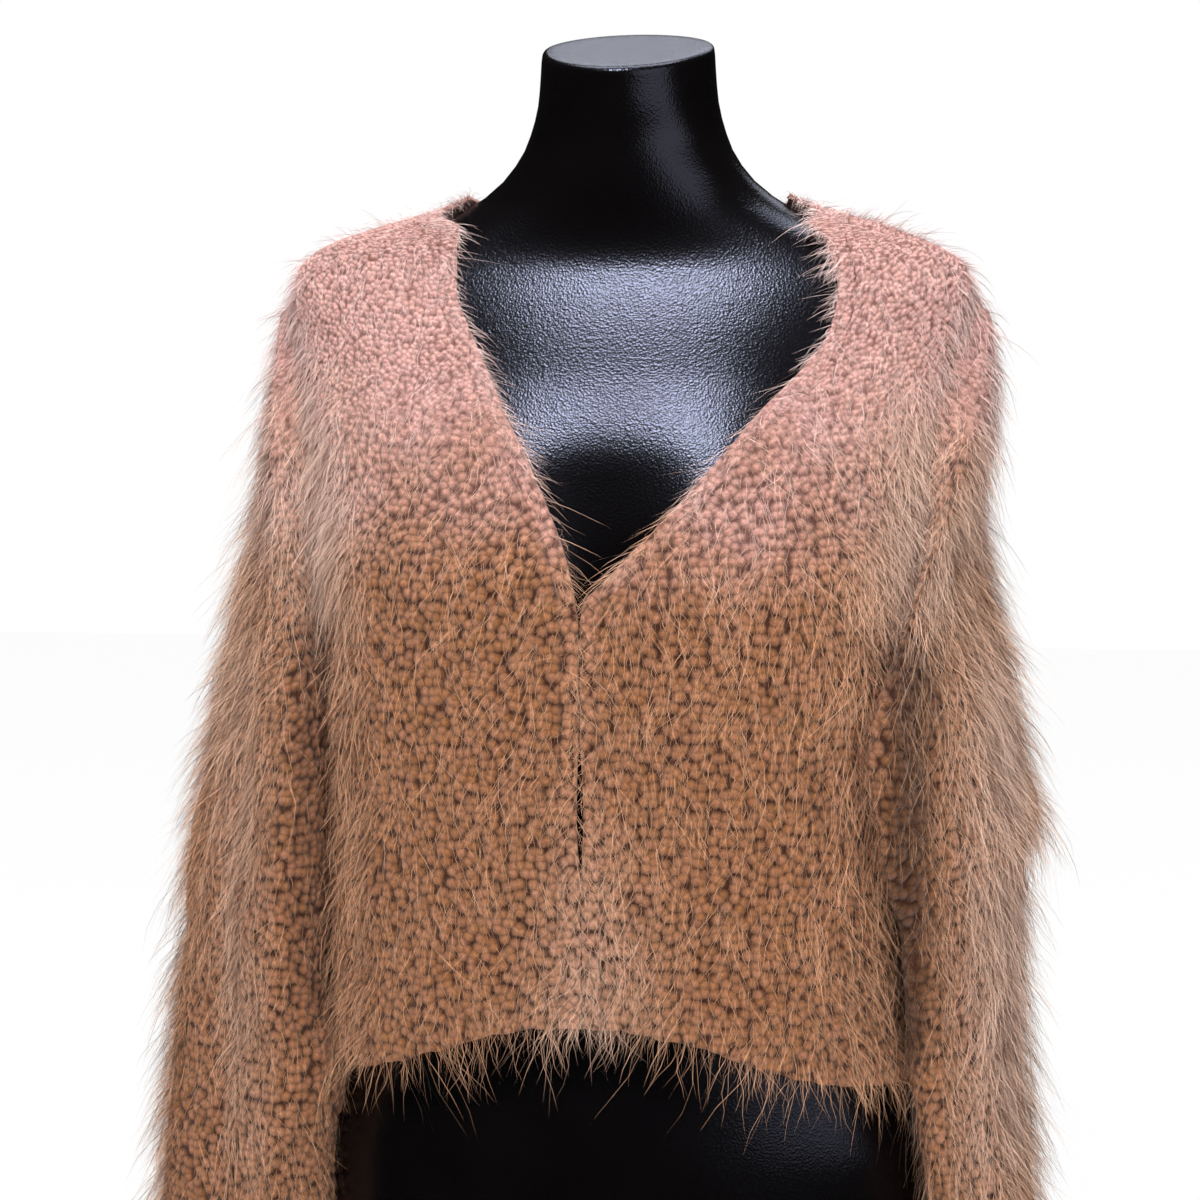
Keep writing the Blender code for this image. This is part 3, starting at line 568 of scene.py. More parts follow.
def flat_places():
    """Tables of the distance round the body and up it, to find a point's place on the flat cloth."""
    rows, columns = FLAT_TABLE
    angle, z = np.meshgrid(np.linspace(0, np.pi, columns), np.linspace(BODY_LOW_Z, BODY_HIGH_Z, rows))
    points = body_points(angle, z)
    round_it = np.linalg.norm(np.diff(points, axis=1), axis=-1).cumsum(axis=1)
    up_it = np.linalg.norm(np.diff(points, axis=0), axis=-1).cumsum(axis=0)
    return np.pad(round_it, ((0, 0), (1, 0))), np.pad(up_it, ((1, 0), (0, 0)))


def body_flat(points, from_behind):
    """The place of each point on the body's flat cloth: round it from the front or the back, and up it."""
    x, y, z = points[..., 0], points[..., 1], points[..., 2]
    wide, front, back, _power = (read(z) for read in BODY)
    angle = np.arctan2(np.abs(x) / wide, -y / np.where(y < 0, front, back))
    tables = flat_places()
    rows, columns = FLAT_TABLE
    r = np.clip((z - BODY_LOW_Z) / (BODY_HIGH_Z - BODY_LOW_Z), 0, TABLE_END) * (rows - 1)
    c = np.clip(angle / np.pi, 0, TABLE_END) * (columns - 1)
    i, j = r.astype(int), c.astype(int)
    r, c = r - i, c - j

    def read(table):
        lower = between(table[i, j], table[i, j + 1], c)
        return between(lower, between(table[i + 1, j], table[i + 1, j + 1], c), r)

    round_it = read(tables[0])
    if from_behind:
        ends = tables[0][:, -1]
        round_it = between(ends[i], ends[i + 1], r) - round_it
    return np.stack([round_it * np.where(x < 0, -1.0, 1.0), read(tables[1])], axis=-1)


def sleeve_flat(points):
    """The place of each point on a sleeve's flat cloth: level round it from its outside, and down it."""
    x, y, z = points[..., 0], points[..., 1], np.minimum.accumulate(points[..., 2], axis=0)
    levels = np.linspace(z.min(), z.max(), SLEEVE_LEVELS)
    columns = range(z.shape[1])

    def at_levels(values):
        return np.stack([np.interp(levels, z[::-1, j], values[::-1, j]) for j in columns], axis=1)

    steps = np.hypot(np.diff(at_levels(x), axis=1), np.diff(at_levels(y), axis=1))
    round_it = np.pad(steps.cumsum(axis=1), ((0, 0), (1, 0)))
    round_it -= round_it[:, z.shape[1] // 2, None]
    a = np.stack([np.interp(z[:, j], levels, round_it[:, j]) for j in columns], axis=1)
    return np.stack([a, z], axis=-1)


def front_surface(side):
    """One front: u from the band's seam to the side, v from the hem to the shoulder."""
    def bottom(u):
        low = seam_angle(side, np.full_like(u, V_POINT_Z))
        return between(low, np.pi / 2, u), between(V_POINT_Z, UNDERARM_Z, u)

    def top(u):
        return np.full_like(u, np.pi / 2), between(NECK_SIDE_SEAM_Z, SHOULDER_TIP_Z, u)

    def near(v):
        z = between(V_POINT_Z, NECK_SIDE_SEAM_Z, v)
        return seam_angle(side, z), z

    def far(v):
        return armhole(v, ARMHOLE_FRONT_TURN)

    def surface(u, v):
        z_low = hem_height(between(0, np.pi / 2, u))
        z_top = between(V_POINT_Z, UNDERARM_Z, u)
        low_z = between(z_low, z_top, np.minimum(v * 2, 1))
        low_angle = between(seam_angle(side, low_z), np.pi / 2, u)
        high_angle, high_z = coons(bottom, top, near, far, u, np.maximum(v * 2 - 1, 0))
        lower = v <= 0.5
        return body_points(np.where(lower, low_angle, high_angle) * side, np.where(lower, low_z, high_z))

    return surface


def band_surface(side):
    """One front band: u from the seam to the free edge, v from the hem to the side of the neck."""
    def surface(u, v):
        hem = float(hem_height(np.array(0.0)))
        share = np.maximum(v * 2 - 1, 0)
        lower = v <= 0.5
        low_z = between(hem, V_POINT_Z, np.minimum(v * 2, 1))
        edge_z = np.where(lower, low_z, between(V_POINT_Z, NECK_SIDE_EDGE_Z, share))
        seam_z = np.where(lower, low_z, between(V_POINT_Z, NECK_SIDE_SEAM_Z, share))
        angle = between(seam_angle(side, seam_z), edge_angle(side, edge_z), u)
        return body_points(angle * side, between(seam_z, edge_z, u))

    return surface


def back_neck(u, z_side, z_centre):
    """Angle and height of the back neckline, from the middle of the back (0) to the shoulder seam (1)."""
    return between(np.pi, np.pi / 2, u), between(z_centre, z_side, np.sin(np.pi / 2 * u) ** 2)


def back_surface(across, v):
    """The back: across from 0 at the wearer's right to 1 at the left, v from the hem to the shoulders."""
    side = np.where(across < 0.5, -1.0, 1.0)
    u = np.abs(across * 2 - 1)

    def bottom(u):
        return between(np.pi, np.pi / 2, u), np.full_like(u, UNDERARM_Z)

    def top(u):
        neck = back_neck(np.minimum(u / NECK_SHARE, 1), NECK_SIDE_SEAM_Z, NECK_BACK_SEAM_Z)
        along = np.clip((u - NECK_SHARE) / (1 - NECK_SHARE), 0, 1)
        shoulder = between(NECK_SIDE_SEAM_Z, SHOULDER_TIP_Z, along)
        on_neck = u <= NECK_SHARE
        return np.where(on_neck, neck[0], np.pi / 2), np.where(on_neck, neck[1], shoulder)

    def near(v):
        return np.full_like(v, np.pi), between(UNDERARM_Z, NECK_BACK_SEAM_Z, v)

    def far(v):
        return armhole(v, -ARMHOLE_BACK_TURN)

    low_angle = between(np.pi, np.pi / 2, u)
    low_z = between(hem_height(low_angle), UNDERARM_Z, np.minimum(v * 2, 1))
    high_angle, high_z = coons(bottom, top, near, far, u, np.maximum(v * 2 - 1, 0))
    lower = v <= 0.5
    return body_points(np.where(lower, low_angle, high_angle) * side, np.where(lower, low_z, high_z))


def band_back_surface(u, v):
    """The band round the back neck: u from its seam to its free edge, v from the right to the left."""
    side = np.where(v < 0.5, -1.0, 1.0)
    share = np.abs(v * 2 - 1)
    angle, seam_z = back_neck(share, NECK_SIDE_SEAM_Z, NECK_BACK_SEAM_Z)
    _angle, edge_z = back_neck(share, NECK_SIDE_EDGE_Z, NECK_BACK_EDGE_Z)
    return body_points(angle * side, between(seam_z, edge_z, u))


def pushed_clear(points, gap):
    """Moves a sleeve's points out of the body and the form, to leave a gap."""
    for sections, lowest in ((BODY, HEM_SIDE_Z - SEAT_BLEND), (FORM, 0.0)):
        x, y, z = points[..., 0], points[..., 1], points[..., 2]
        wide, front, back, power = (read(z) for read in sections)
        depth = np.where(y < 0, front, back) + gap
        reach = (np.abs(x / (wide + gap)) ** power + np.abs(y / depth) ** power) ** (1 / power)
        inside = (reach < 1) & (reach > 0) & (z >= lowest)
        clear = np.where(inside, 1 / np.maximum(reach, 0.01), 1.0)
        grow = between(1.0, clear, ease((z - lowest) / SEAT_BLEND))
        points = np.stack([x * grow, y * grow, z], axis=-1)
    return points


def sleeve_surface(side):
    """One sleeve: u round it from its inside over the back, v from the armhole to the cuff."""
    table = SLEEVE_LEFT if side > 0 else SLEEVE_RIGHT
    folds = FOLDS_LEFT if side > 0 else FOLDS_RIGHT
    keys = [i / (len(table) - 1) for i in range(len(table))]
    read = [smooth_curve(keys, [row[column] for row in table]) for column in range(7)]

    def section(u, s):
        out_x, out_z, in_x, in_z, front, back, turn = (column(s) for column in read)
        theta = 2 * np.pi * u
        power = SLEEVE_SQUARENESS
        full = (np.abs(np.cos(theta)) ** power + np.abs(np.sin(theta)) ** power) ** (-1 / power)
        out = np.zeros_like(theta)
        for place, half, proud, start, end in folds:
            away = (np.degrees(theta) - place + 180.0) % 360.0 - 180.0
            along = (s - start) / (end - start)
            live = ease(along * SLEEVE_FOLD_FADE) * (along > 0) * (along < 1)
            live = live * ease((1 - along) * SLEEVE_FOLD_FADE + SLEEVE_FOLD_LEFT)
            out += proud * hump(away / half) * live
        across = full * np.cos(theta)
        deep = full * np.sin(theta - np.radians(turn))
        x = (out_x + in_x) / 2 + ((out_x - in_x) / 2 + out) * across
        y = (back - front) / 2 - ((front + back) / 2 + out) * deep
        z = (out_z + in_z) / 2 + (out_z - in_z) / 2 * across
        return np.stack([x * side, y, z], axis=-1)

    def loop(u):
        down_front = u <= 0.5
        share = np.where(down_front, 1 - 2 * u, 2 * u - 1)
        front_angle, z = armhole(share, ARMHOLE_FRONT_TURN)
        back_angle, _z = armhole(share, -ARMHOLE_BACK_TURN)
        return body_points(np.where(down_front, front_angle, back_angle) * side, z)

    def surface(u, v):
        u = (u + 0.5) % 1.0
        held = 1 - ease(v / SLEEVE_HELD_SHARE)
        gap = SLEEVE_CLEARANCE * ease(v / SLEEVE_CLEAR_SHARE)
        drift = loop(u) - section(u, np.zeros_like(v))
        placed = pushed_clear(section(u, v) + drift * held[..., None], gap)
        return np.where((v > 0)[..., None], placed, loop(u))

    return surface


def hashed(*keys):
    """A repeatable number from 0 to 1 for each set of keys."""
    mixed = sum(key * scale for key, scale in zip(keys, (127.1, 311.7, 74.7)))
    return np.modf(np.abs(np.sin(mixed) * 43758.5453))[0]


def value_noise(points, size, seed):
    """Smooth noise from -1 to 1 in space, with lumps of about this size."""
    cell = points / size
    low = np.floor(cell)
    part = cell - low
    part = part * part * (3 - 2 * part)
    total = np.zeros(points.shape[:-1])
    for corner in range(8):
        step = np.array([corner & 1, corner >> 1 & 1, corner >> 2 & 1], float)
        weight = np.prod(np.where(step > 0, part, 1 - part), axis=-1)
        at = low + step
        total += weight * hashed(at[..., 0] + seed, at[..., 1], at[..., 2])
    return total * 2 - 1


def noises(points, kinds, seed=0.0):
    """The sum of several noises, each with its strength, its size and its own seed."""
    return sum(strength * value_noise(points, size, seed + own) for strength, size, own in kinds)


def add_object(name, data):
    thing = bpy.data.objects.new(name, data)
    bpy.context.scene.collection.objects.link(thing)
    return thing


def nearness(flat, size):
    """How far each place on the flat cloth is from its bobble's middle, read from the texture."""
    count = flat[..., 0].size
    mesh = bpy.data.meshes.new("probe")
    mesh.vertices.add(count)
    places = np.pad(flat.reshape(-1, 2), ((0, 0), (0, 1)))
    mesh.vertices.foreach_set("co", places.astype(np.float32).ravel())
    probe = add_object("probe", mesh)
    group = bpy.data.node_groups.new("probe", "GeometryNodeTree")
    for way in ("INPUT", "OUTPUT"):
        group.interface.new_socket("Geometry", in_out=way, socket_type="NodeSocketGeometry")
    kinds = ("NodeGroupInput", "NodeGroupOutput", "GeometryNodeInputPosition", "ShaderNodeTexVoronoi",
             "GeometryNodeStoreNamedAttribute")
    source, sink, place, cells, store = (group.nodes.new(kind) for kind in kinds)
    set_cells(cells, size)
    store.inputs["Name"].default_value = "near"
    group.links.new(source.outputs[0], store.inputs["Geometry"])
    group.links.new(place.outputs[0], cells.inputs["Vector"])
    group.links.new(cells.outputs["Distance"], store.inputs["Value"])
    group.links.new(store.outputs[0], sink.inputs[0])
    probe.modifiers.new("probe", "NODES").node_group = group
    seen = probe.evaluated_get(bpy.context.evaluated_depsgraph_get())
    near = np.zeros(count, np.float32)
    seen.data.attributes["near"].data.foreach_get("value", near)
    bpy.data.objects.remove(probe)
    bpy.data.meshes.remove(mesh)
    bpy.data.node_groups.remove(group)
    return near.reshape(flat.shape[:-1])


def fineness(z):
    """0 where the bobbles are coarse and the hair long, 1 at the shoulders, where both are fine."""
    return ramp(z, FINE_FROM_Z, FINE_TO_Z)


def bobbles(flat, z):
    """The height of the knit's bobbles, from 0 to 1. They are finer at the shoulders."""
    near = between(nearness(flat, BOBBLE), nearness(flat, FINE_BOBBLE), fineness(z))
    dome = np.sqrt(np.maximum(1 - (near / BOBBLE_EDGE) ** 2, 0))
    return dome * between(1.0, FINE_HIGH_SHARE, fineness(z))


def set_cells(node, size):
    """The texture that places the bobbles, the same for the shape and for the material."""
    node.voronoi_dimensions = "2D"
    node.inputs["Scale"].default_value = 1 / size
    node.inputs["Randomness"].default_value = BOBBLE_SCATTER


def unit(vectors):
    return vectors / np.maximum(np.linalg.norm(vectors, axis=-1, keepdims=True), 1e-12)


def grid_normals(points, middle):
    """Outward normals of a grid of points. middle is what they face away from."""
    along_u = np.gradient(points, axis=1)
    along_v = np.gradient(points, axis=0)
    normals = unit(np.cross(along_u, along_v))
    if (normals * (points - middle)).sum() < 0:
        normals = -normals
    return normals


def make_mesh(name, points, triangles, attributes, cloth=None, normals=None):
    """An object from arrays of points and triangles, with named float attributes of its points.

    cloth gives each corner its place on the flat cloth, and normals gives each point its own normal.
    """
    mesh = bpy.data.meshes.new(name)
    mesh.vertices.add(len(points))
    mesh.vertices.foreach_set("co", np.ascontiguousarray(points, np.float32).ravel())
    mesh.loops.add(triangles.size)
    mesh.loops.foreach_set("vertex_index", np.ascontiguousarray(triangles, np.int32).ravel())
    mesh.polygons.add(len(triangles))
    mesh.polygons.foreach_set("loop_start", np.arange(0, triangles.size, 3, dtype=np.int32))
    mesh.update(calc_edges=True)
    for key, values in attributes.items():
        layer = mesh.attributes.new(key, "FLOAT", "POINT")
        layer.data.foreach_set("value", np.ascontiguousarray(values, np.float32).ravel())
    if cloth is not None:
        mesh.uv_layers.new(name="cloth").uv.foreach_set("vector", cloth.astype(np.float32).ravel())
    mesh.shade_smooth()
    if normals is not None:
        mesh.normals_split_custom_set_from_vertices(normals.tolist())
    return add_object(name, mesh)


def grid_triangles(index):
    """Two triangles for each cell of a grid of point numbers."""
    a, b, c, d = index[:-1, :-1], index[:-1, 1:], index[1:, 1:], index[1:, :-1]
    first = np.stack([a, b, c], axis=-1).reshape(-1, 3)
    second = np.stack([a, c, d], axis=-1).reshape(-1, 3)
    return np.concatenate([first, second])


def rim_triangles(fine, coarse, span):
    """Joins a fine row of points to a coarse one, which has one point for each span of the fine row."""
    made = []
    half = span // 2
    for step in range(span):
        held = coarse[:-1] if step < half else coarse[1:]
        made.append(np.stack([fine[step:-1:span], fine[step + 1::span], held], axis=-1))
    made.append(np.stack([fine[half:-1:span], coarse[1:], coarse[:-1]], axis=-1))
    return np.concatenate(made)


class Cloth:
    """A piece of knit: its fine outer face with normals, and its lining face."""

    def __init__(self, surface, cells, closed, seed, high=1.0, from_behind=False):
        columns, rows, span = cells
        u, v = np.meshgrid(np.linspace(0, 1, columns + 1), np.linspace(0, 1, rows + 1))
        base = surface(u, v)
        if closed:
            base[:, -1] = base[:, 0]
            middle = base[:, :-1].mean(axis=1, keepdims=True)
        else:
            middle = base * np.array([0.0, 0.0, 1.0])
        normals = grid_normals(base, middle)
        if closed:
            normals[:, 0] = unit(normals[:, 0] + normals[:, -1])
            normals[:, -1] = normals[:, 0]
        base = base + normals * noises(base, CLOTH_LUMPS, seed)[..., None]
        from_hem = np.arange(rows + 1)[::-1] if closed else np.arange(rows + 1)
        near_hem = ease(1 - from_hem / RAGGED_ROWS)[:, None]
        base[..., 2] += near_hem * noises(base, RAGGED_EDGE)
        self.flat = sleeve_flat(base) if closed else body_flat(base, from_behind)
        height = bobbles(self.flat, base[..., 2])
        if closed:
            height[:, -1] = height[:, 0]
        self.base = base
        self.normals = normals
        self.outer = base + normals * (height * BOBBLE_HIGH * high - BOBBLE_SUNK)[..., None]
        # The painted crease shade and the haze, partly a painted highlight, kept as attributes for the
        # knit's material
        self.shades = {"painted_crease": painted_crease_shade(base), "pale_haze_and_painted_ridge_light": pale_haze_and_painted_ridge_light(base)}
        self.closed = closed
        self.span = span

    def make(self, name):
        """The shell as one closed mesh."""
        span = self.span
        lining = (self.base - self.normals * KNIT_THICK)[::span, ::span]
        rows, columns = self.outer.shape[:2]
        low_rows, low_columns = lining.shape[:2]
        fine = np.arange(rows * columns).reshape(rows, columns)
        coarse = rows * columns + np.arange(low_rows * low_columns).reshape(low_rows, low_columns)
        rims = [rim_triangles(fine[0], coarse[0], span)]
        rims.append(rim_triangles(fine[-1], coarse[-1], span)[:, ::-1])
        if not self.closed:
            rims.append(rim_triangles(fine[:, 0], coarse[:, 0], span)[:, ::-1])
            rims.append(rim_triangles(fine[:, -1], coarse[:, -1], span))
        triangles = np.concatenate([grid_triangles(fine)[:, ::-1], grid_triangles(coarse), *rims])
        points = np.concatenate([self.outer.reshape(-1, 3), lining.reshape(-1, 3)])
        flat = np.concatenate([self.flat.reshape(-1, 2), self.flat[::span, ::span].reshape(-1, 2)])
        corners = flat[triangles]
        if self.closed:
            for index in (fine, coarse):
                last = np.isin(triangles, index[:, -1])
                triangles = np.where(last, triangles - index.shape[1] + 1, triangles)
        used, numbers = np.unique(triangles, return_inverse=True)
        triangles = numbers.reshape(-1, 3)
        points = points[used]
        a, b, c = points[triangles[0]]
        if np.cross(b - a, c - a) @ self.normals[0, 0] < 0:
            triangles = triangles[:, ::-1]
            corners = corners[:, ::-1]
        shades = {}
        for key, shade in self.shades.items():
            shades[key] = np.concatenate([shade.ravel(), shade[::span, ::span].ravel()])[used]
        return make_mesh(name, points, triangles, shades, corners)


def painted_crease_shade(points):
    """1 deep in the crease between the body and a hanging sleeve: the mask of the painted shade there,
    which also thins the hair.
    """
    x, z = points[..., 0], points[..., 2]
    left, right = (dark * bell(x, place, half) for place, half, dark in PAINTED_CREASE_SHADES)
    return np.where(x > 0, left, right) * ramp(z, *CREASE_TOP) * ramp(z, *CREASE_FOOT)


def pale_haze_and_painted_ridge_light(points):
    """1 where the hair is thick and pale: low by the closing, before the armholes, down the sleeves. On
    the sleeve ridges it is partly a painted highlight.
    """
    x, y, z = points[..., 0], points[..., 1], points[..., 2]
    by_closing = HAZE_CLOSING * bell(x, *HAZE_CLOSING_X) * ramp(z, *HAZE_CLOSING_TOP)
    by_armhole = bell(np.abs(x), *HAZE_ARMHOLE_X) * bell(z, *HAZE_ARMHOLE_Z)
    # The sleeve ridges: pale hair, partly a painted highlight
    ridge_haze_and_painted_light = bell(np.abs(x), *HAZE_RIDGE_X) * ramp(z, *HAZE_RIDGE_FOOT) * ramp(z, *HAZE_RIDGE_TOP)
    ridge_haze_and_painted_light = np.where(x > 0, *RIDGE_HAZE_AND_PAINTED_LIGHT) * ridge_haze_and_painted_light
    return by_armhole + ramp(y, *HAZE_AHEAD_Y) * (by_closing + ridge_haze_and_painted_light)


def outwards(normals, x):
    """How far a surface faces to its own side, from -1 to 1."""
    return normals[..., 0] * np.sign(x)


def outer_side(normals, x):
    """1 on the outer sides of the sleeves and shoulders, where the pile makes the outline."""
    return ramp(outwards(normals, x), *OUTER_SIDE)


def hair_weight(points, normals):
    """How thick the hair is: thick in the haze and on the outer sides, thin where cloth faces cloth."""
    x, z = points[..., 0], points[..., 2]
    level = HAIR_LEVEL + noises(points, HAIR_PATCHES) + HAIR_AT_SHOULDERS * fineness(z)
    weight = np.maximum(level + HAIR_IN_HAZE * pale_haze_and_painted_ridge_light(points), HAIR_LEAST)
    outside = 1 + HAIR_OUTSIDE * outer_side(normals, x)
    weight *= outside * (1 - HAIR_LOST_IN_CREASE * painted_crease_shade(points))
    facing = outwards(normals, x)
    beside = (facing > BODY_SIDE_FACING) & (np.abs(x) < BODY_SIDE_X)
    hidden = (beside | (facing < SLEEVE_INSIDE_FACING)) & (z < UNDERARM_Z) & (z > HEM_CENTRE_Z)
    return np.where(hidden, weight * HAIR_HIDDEN_SHARE, weight)


def pick_roots(cloth, count, random, edgeward):
    """Cells of the cloth, picked by size and weight of hair, and a function that reads a grid there."""
    base = cloth.base
    across = np.linalg.norm(base[:-1, 1:] - base[:-1, :-1], axis=-1)
    up = np.linalg.norm(base[1:, :-1] - base[:-1, :-1], axis=-1)
    weight = across * up * hair_weight(base[:-1, :-1], cloth.normals[:-1, :-1])
    z = base[:-1, :-1, 2]
    by_neck = NECK_HAIR * ramp(z, *NECK_HAIR_Z) + BACK_NECK_HAIR * ramp(z, *BACK_NECK_HAIR_Z)
    weight *= 1 + edgeward * by_neck
    weight *= 1 + EDGE_HAIR * edgeward * np.linspace(0, 1, weight.shape[1])
    share = np.cumsum(weight.ravel())
    cell = np.searchsorted(share, random.random(count) * share[-1])
    row, column = np.divmod(cell, weight.shape[1])
    fu, fv = random.random((2, count, 1))

    def read(grid):
        low = between(grid[row, column], grid[row, column + 1], fu)
        return between(low, between(grid[row + 1, column], grid[row + 1, column + 1], fu), fv)

    return row, column, read


def strand_triangles(stack, normal):
    """Triangles of tapered strands, given as pairs of points and a tip, turned to face outwards."""
    count, each = stack.shape[:2]
    strand = []
    for i in range(0, each - 3, 2):
        strand += [[i, i + 1, i + 3], [i, i + 3, i + 2]]
    strand.append([each - 3, each - 2, each - 1])
    triangles = np.arange(count)[:, None, None] * each + np.array(strand)
    turned = np.cross(stack[:, 1] - stack[:, 0], stack[:, 2] - stack[:, 0])
    wrong = (turned * normal).sum(axis=-1) < 0
    triangles[wrong] = triangles[wrong][:, :, ::-1]
    return triangles.reshape(-1, 3)


def grow_hair(cloth, count, spine, random, long, lift, edgeward):
    """Tapered hairs rooted all over a cloth, as arrays. They leave it outwards, hang and wave a little."""
    def spread(low, high):
        return random.uniform(low, high, (count, 1))

    def scatter(middle, wide):
        return random.normal(middle, wide, (count, 1))

    row, column, read = pick_roots(cloth, count, random, edgeward)
    normal = unit(read(cloth.normals))
    root = read(cloth.outer) - normal * HAIR_ROOT_SUNK
    outer = outer_side(normal, root[:, 0])[:, None]
    by_neck = ramp(root[:, 2:], *NECK_EDGE_Z)
    to_edge = unit(cloth.base[row, column + 1] - cloth.base[row, column]) * edgeward * by_neck
    down = np.array([0.0, 0.0, -1.0])
    hang = down - normal * (normal @ down)[:, None]
    sideways = np.cross(normal, unit(hang + 0.001))
    swirl = noises(root, HAIR_SWIRLS) + edgeward * noises(root, HAIR_CLUMPS)
    tuft = 1 + noises(root, HAIR_TUFTS)[:, None]
    length = long * np.clip(np.exp(scatter(0.0, HAIR_LENGTH_SPREAD)), *HAIR_LENGTH_LIMITS)
    length *= tuft * between(1.0, FINE_HAIR_SHARE, fineness(root[:, 2:]))
    out = lift * spread(*HAIR_OUT) + HAIR_OUT_MORE * outer
    fall = spread(HAIR_FALL[0] - EDGE_FALL * edgeward, HAIR_FALL[1])
    veer = scatter(0.0, HAIR_VEER + EDGE_VEER * edgeward) + swirl[:, None]
    to_edge = to_edge * spread(0.0, EDGE_PULL)
    start = unit(normal * out + hang * fall + sideways * veer + to_edge)
    bend = (
        hang * spread(*HAIR_HANG)
        + down * (HAIR_SAG + EDGE_SAG * edgeward * random.random((count, 1)))
        + sideways * scatter(0.0, HAIR_CURL + EDGE_CURL * edgeward)
        - normal * spread(0.0, HAIR_PRESSED)
    )
    sway = spread(*HAIR_SWAY)
    phase = spread(0.0, 2 * np.pi)
    wide = spread(*HAIR_HALF_WIDTH) * (1 + HAIR_WIDER_OUTSIDE * outer)
    face = unit(normal + HAIR_TWIST * random.normal(size=(count, 3)))
    upright = normal * HAIR_CLOTH_SHADING + HAIR_SKY_SHADING
    points, along, facing = [], [], []
    for step, taper in spine:
        turn = phase + HAIR_WAVES * step
        wave = sideways * sway * (np.sin(turn) - np.sin(phase))
        place = root + length * (start * step + bend * step**2 + wave)
        heading = unit(start + 2 * bend * step + sideways * sway * HAIR_WAVES * np.cos(turn))
        across = unit(np.cross(heading, face)) * wide * taper
        ends = [place - across, place + across] if taper > 0 else [place]
        level = heading * (upright * heading).sum(axis=-1, keepdims=True)
        points += ends
        along += [step] * len(ends)
        facing += [unit(upright - level * HAIR_SHADE_LEVEL)] * len(ends)
    stack = np.stack(points, axis=1)
    each = len(points)
    return {
        "points": stack.reshape(-1, 3),
        "triangles": strand_triangles(stack, normal),
        "normals": np.stack(facing, axis=1).reshape(-1, 3),
        "along": np.tile(np.array(along), count),
        "tint": np.repeat(random.random(count), each),
        # The haze, partly a painted highlight, and the painted crease shade at each root
        "pale_haze_and_painted_ridge_light": np.repeat(pale_haze_and_painted_ridge_light(root), each),
        "painted_crease": np.repeat(painted_crease_shade(root), each),
    }


def make_hair(name, cloth, counts, seed, long=HAIR_LONG, edgeward=0.0):
    """All hairs of one piece of cloth as one object: long ones over short ones."""
    random = np.random.default_rng(seed)
    sets = [
        grow_hair(cloth, counts[0], LONG_HAIR, random, long, HAIR_LONG_LIFT, edgeward),
        grow_hair(cloth, counts[1], SHORT_HAIR, random, HAIR_SHORT, HAIR_SHORT_LIFT, edgeward),
    ]
    joined = {key: np.concatenate([hairs[key] for hairs in sets]) for key in sets[0]}
    triangles = joined.pop("triangles")
    triangles[len(sets[0]["triangles"]):] += len(sets[0]["points"])
    low = np.array(CAD_BOUNDS[0]) - HAIR_REACH_LOW
    high = np.array(CAD_BOUNDS[1]) + HAIR_REACH_HIGH
    points = np.clip(joined.pop("points"), low, high)
    return make_mesh(name, points, triangles, joined, normals=joined.pop("normals"))


def form_points(angle, z):
    """Points on the dress form. The neck leans forward towards its cap."""
    x, y = section_xy(FORM, angle, z)
    ahead = ease(np.cos(angle) * BUST_AHEAD)
    for side in (-1, 1):
        off_x = (x - side * BUST_X) / BUST_SPREAD_X
        off_z = (z - BUST_Z) / BUST_SPREAD_Z
        y = y - BUST_PROUD * np.exp(-off_x**2 - off_z**2) * ahead
    lean = math.tan(math.radians(NECK_LEAN)) * ramp(z, LEAN_FROM_Z, FORM_HIGH_Z)
    return np.stack([x, y, z + lean * y], axis=-1)


def make_form():
    """The dress form as one smooth closed body, finer than the part's faceted one."""
    angle = np.linspace(0, 2 * np.pi, FORM_AROUND, endpoint=False)
    rings = []

    def add_ring(z, inset, drop):
        ring = form_points(angle, np.full_like(angle, z))
        middle = (ring[0] + ring[FORM_AROUND // 2]) / 2
        rings.append(ring + unit(middle - ring) * inset - np.array([0, 0, drop]))

    for turn in np.linspace(np.pi / 2, 0, FOOT_RINGS):
        add_ring(RIM_ROUND * (1 - np.sin(turn)), RIM_ROUND * (1 - np.cos(turn)), 0.0)
    for z in np.linspace(FORM_FIRST_Z, FORM_HIGH_Z - FORM_LAST_DROP, FORM_RINGS):
        add_ring(z, 0.0, 0.0)
    for turn in np.linspace(0, np.pi / 2, RIM_RINGS):
        add_ring(FORM_HIGH_Z, RIM_ROUND * (1 - np.cos(turn)), RIM_ROUND * (1 - np.sin(turn)))
    for inset in CAP_INSETS:
        add_ring(FORM_HIGH_Z, inset, 0.0)
    index = np.arange(len(rings) * FORM_AROUND).reshape(len(rings), FORM_AROUND)
    index = np.concatenate([index, index[:, :1]], axis=1)
    points = np.concatenate(rings)
    foot, cap = len(points), len(points) + 1
    points = np.concatenate([points, [rings[0].mean(axis=0)], [rings[-1].mean(axis=0)]])
    fans = [
        np.stack([index[0, 1:], index[0, :-1], np.full(FORM_AROUND, foot)], axis=-1),
        np.stack([index[-1, :-1], index[-1, 1:], np.full(FORM_AROUND, cap)], axis=-1),
    ]
    thing = make_mesh("form_skin", points, np.concatenate([grid_triangles(index), *fans]), {})
    thing.data.set_sharp_from_angle(angle=math.radians(FORM_SHARP_FROM))
    return thing


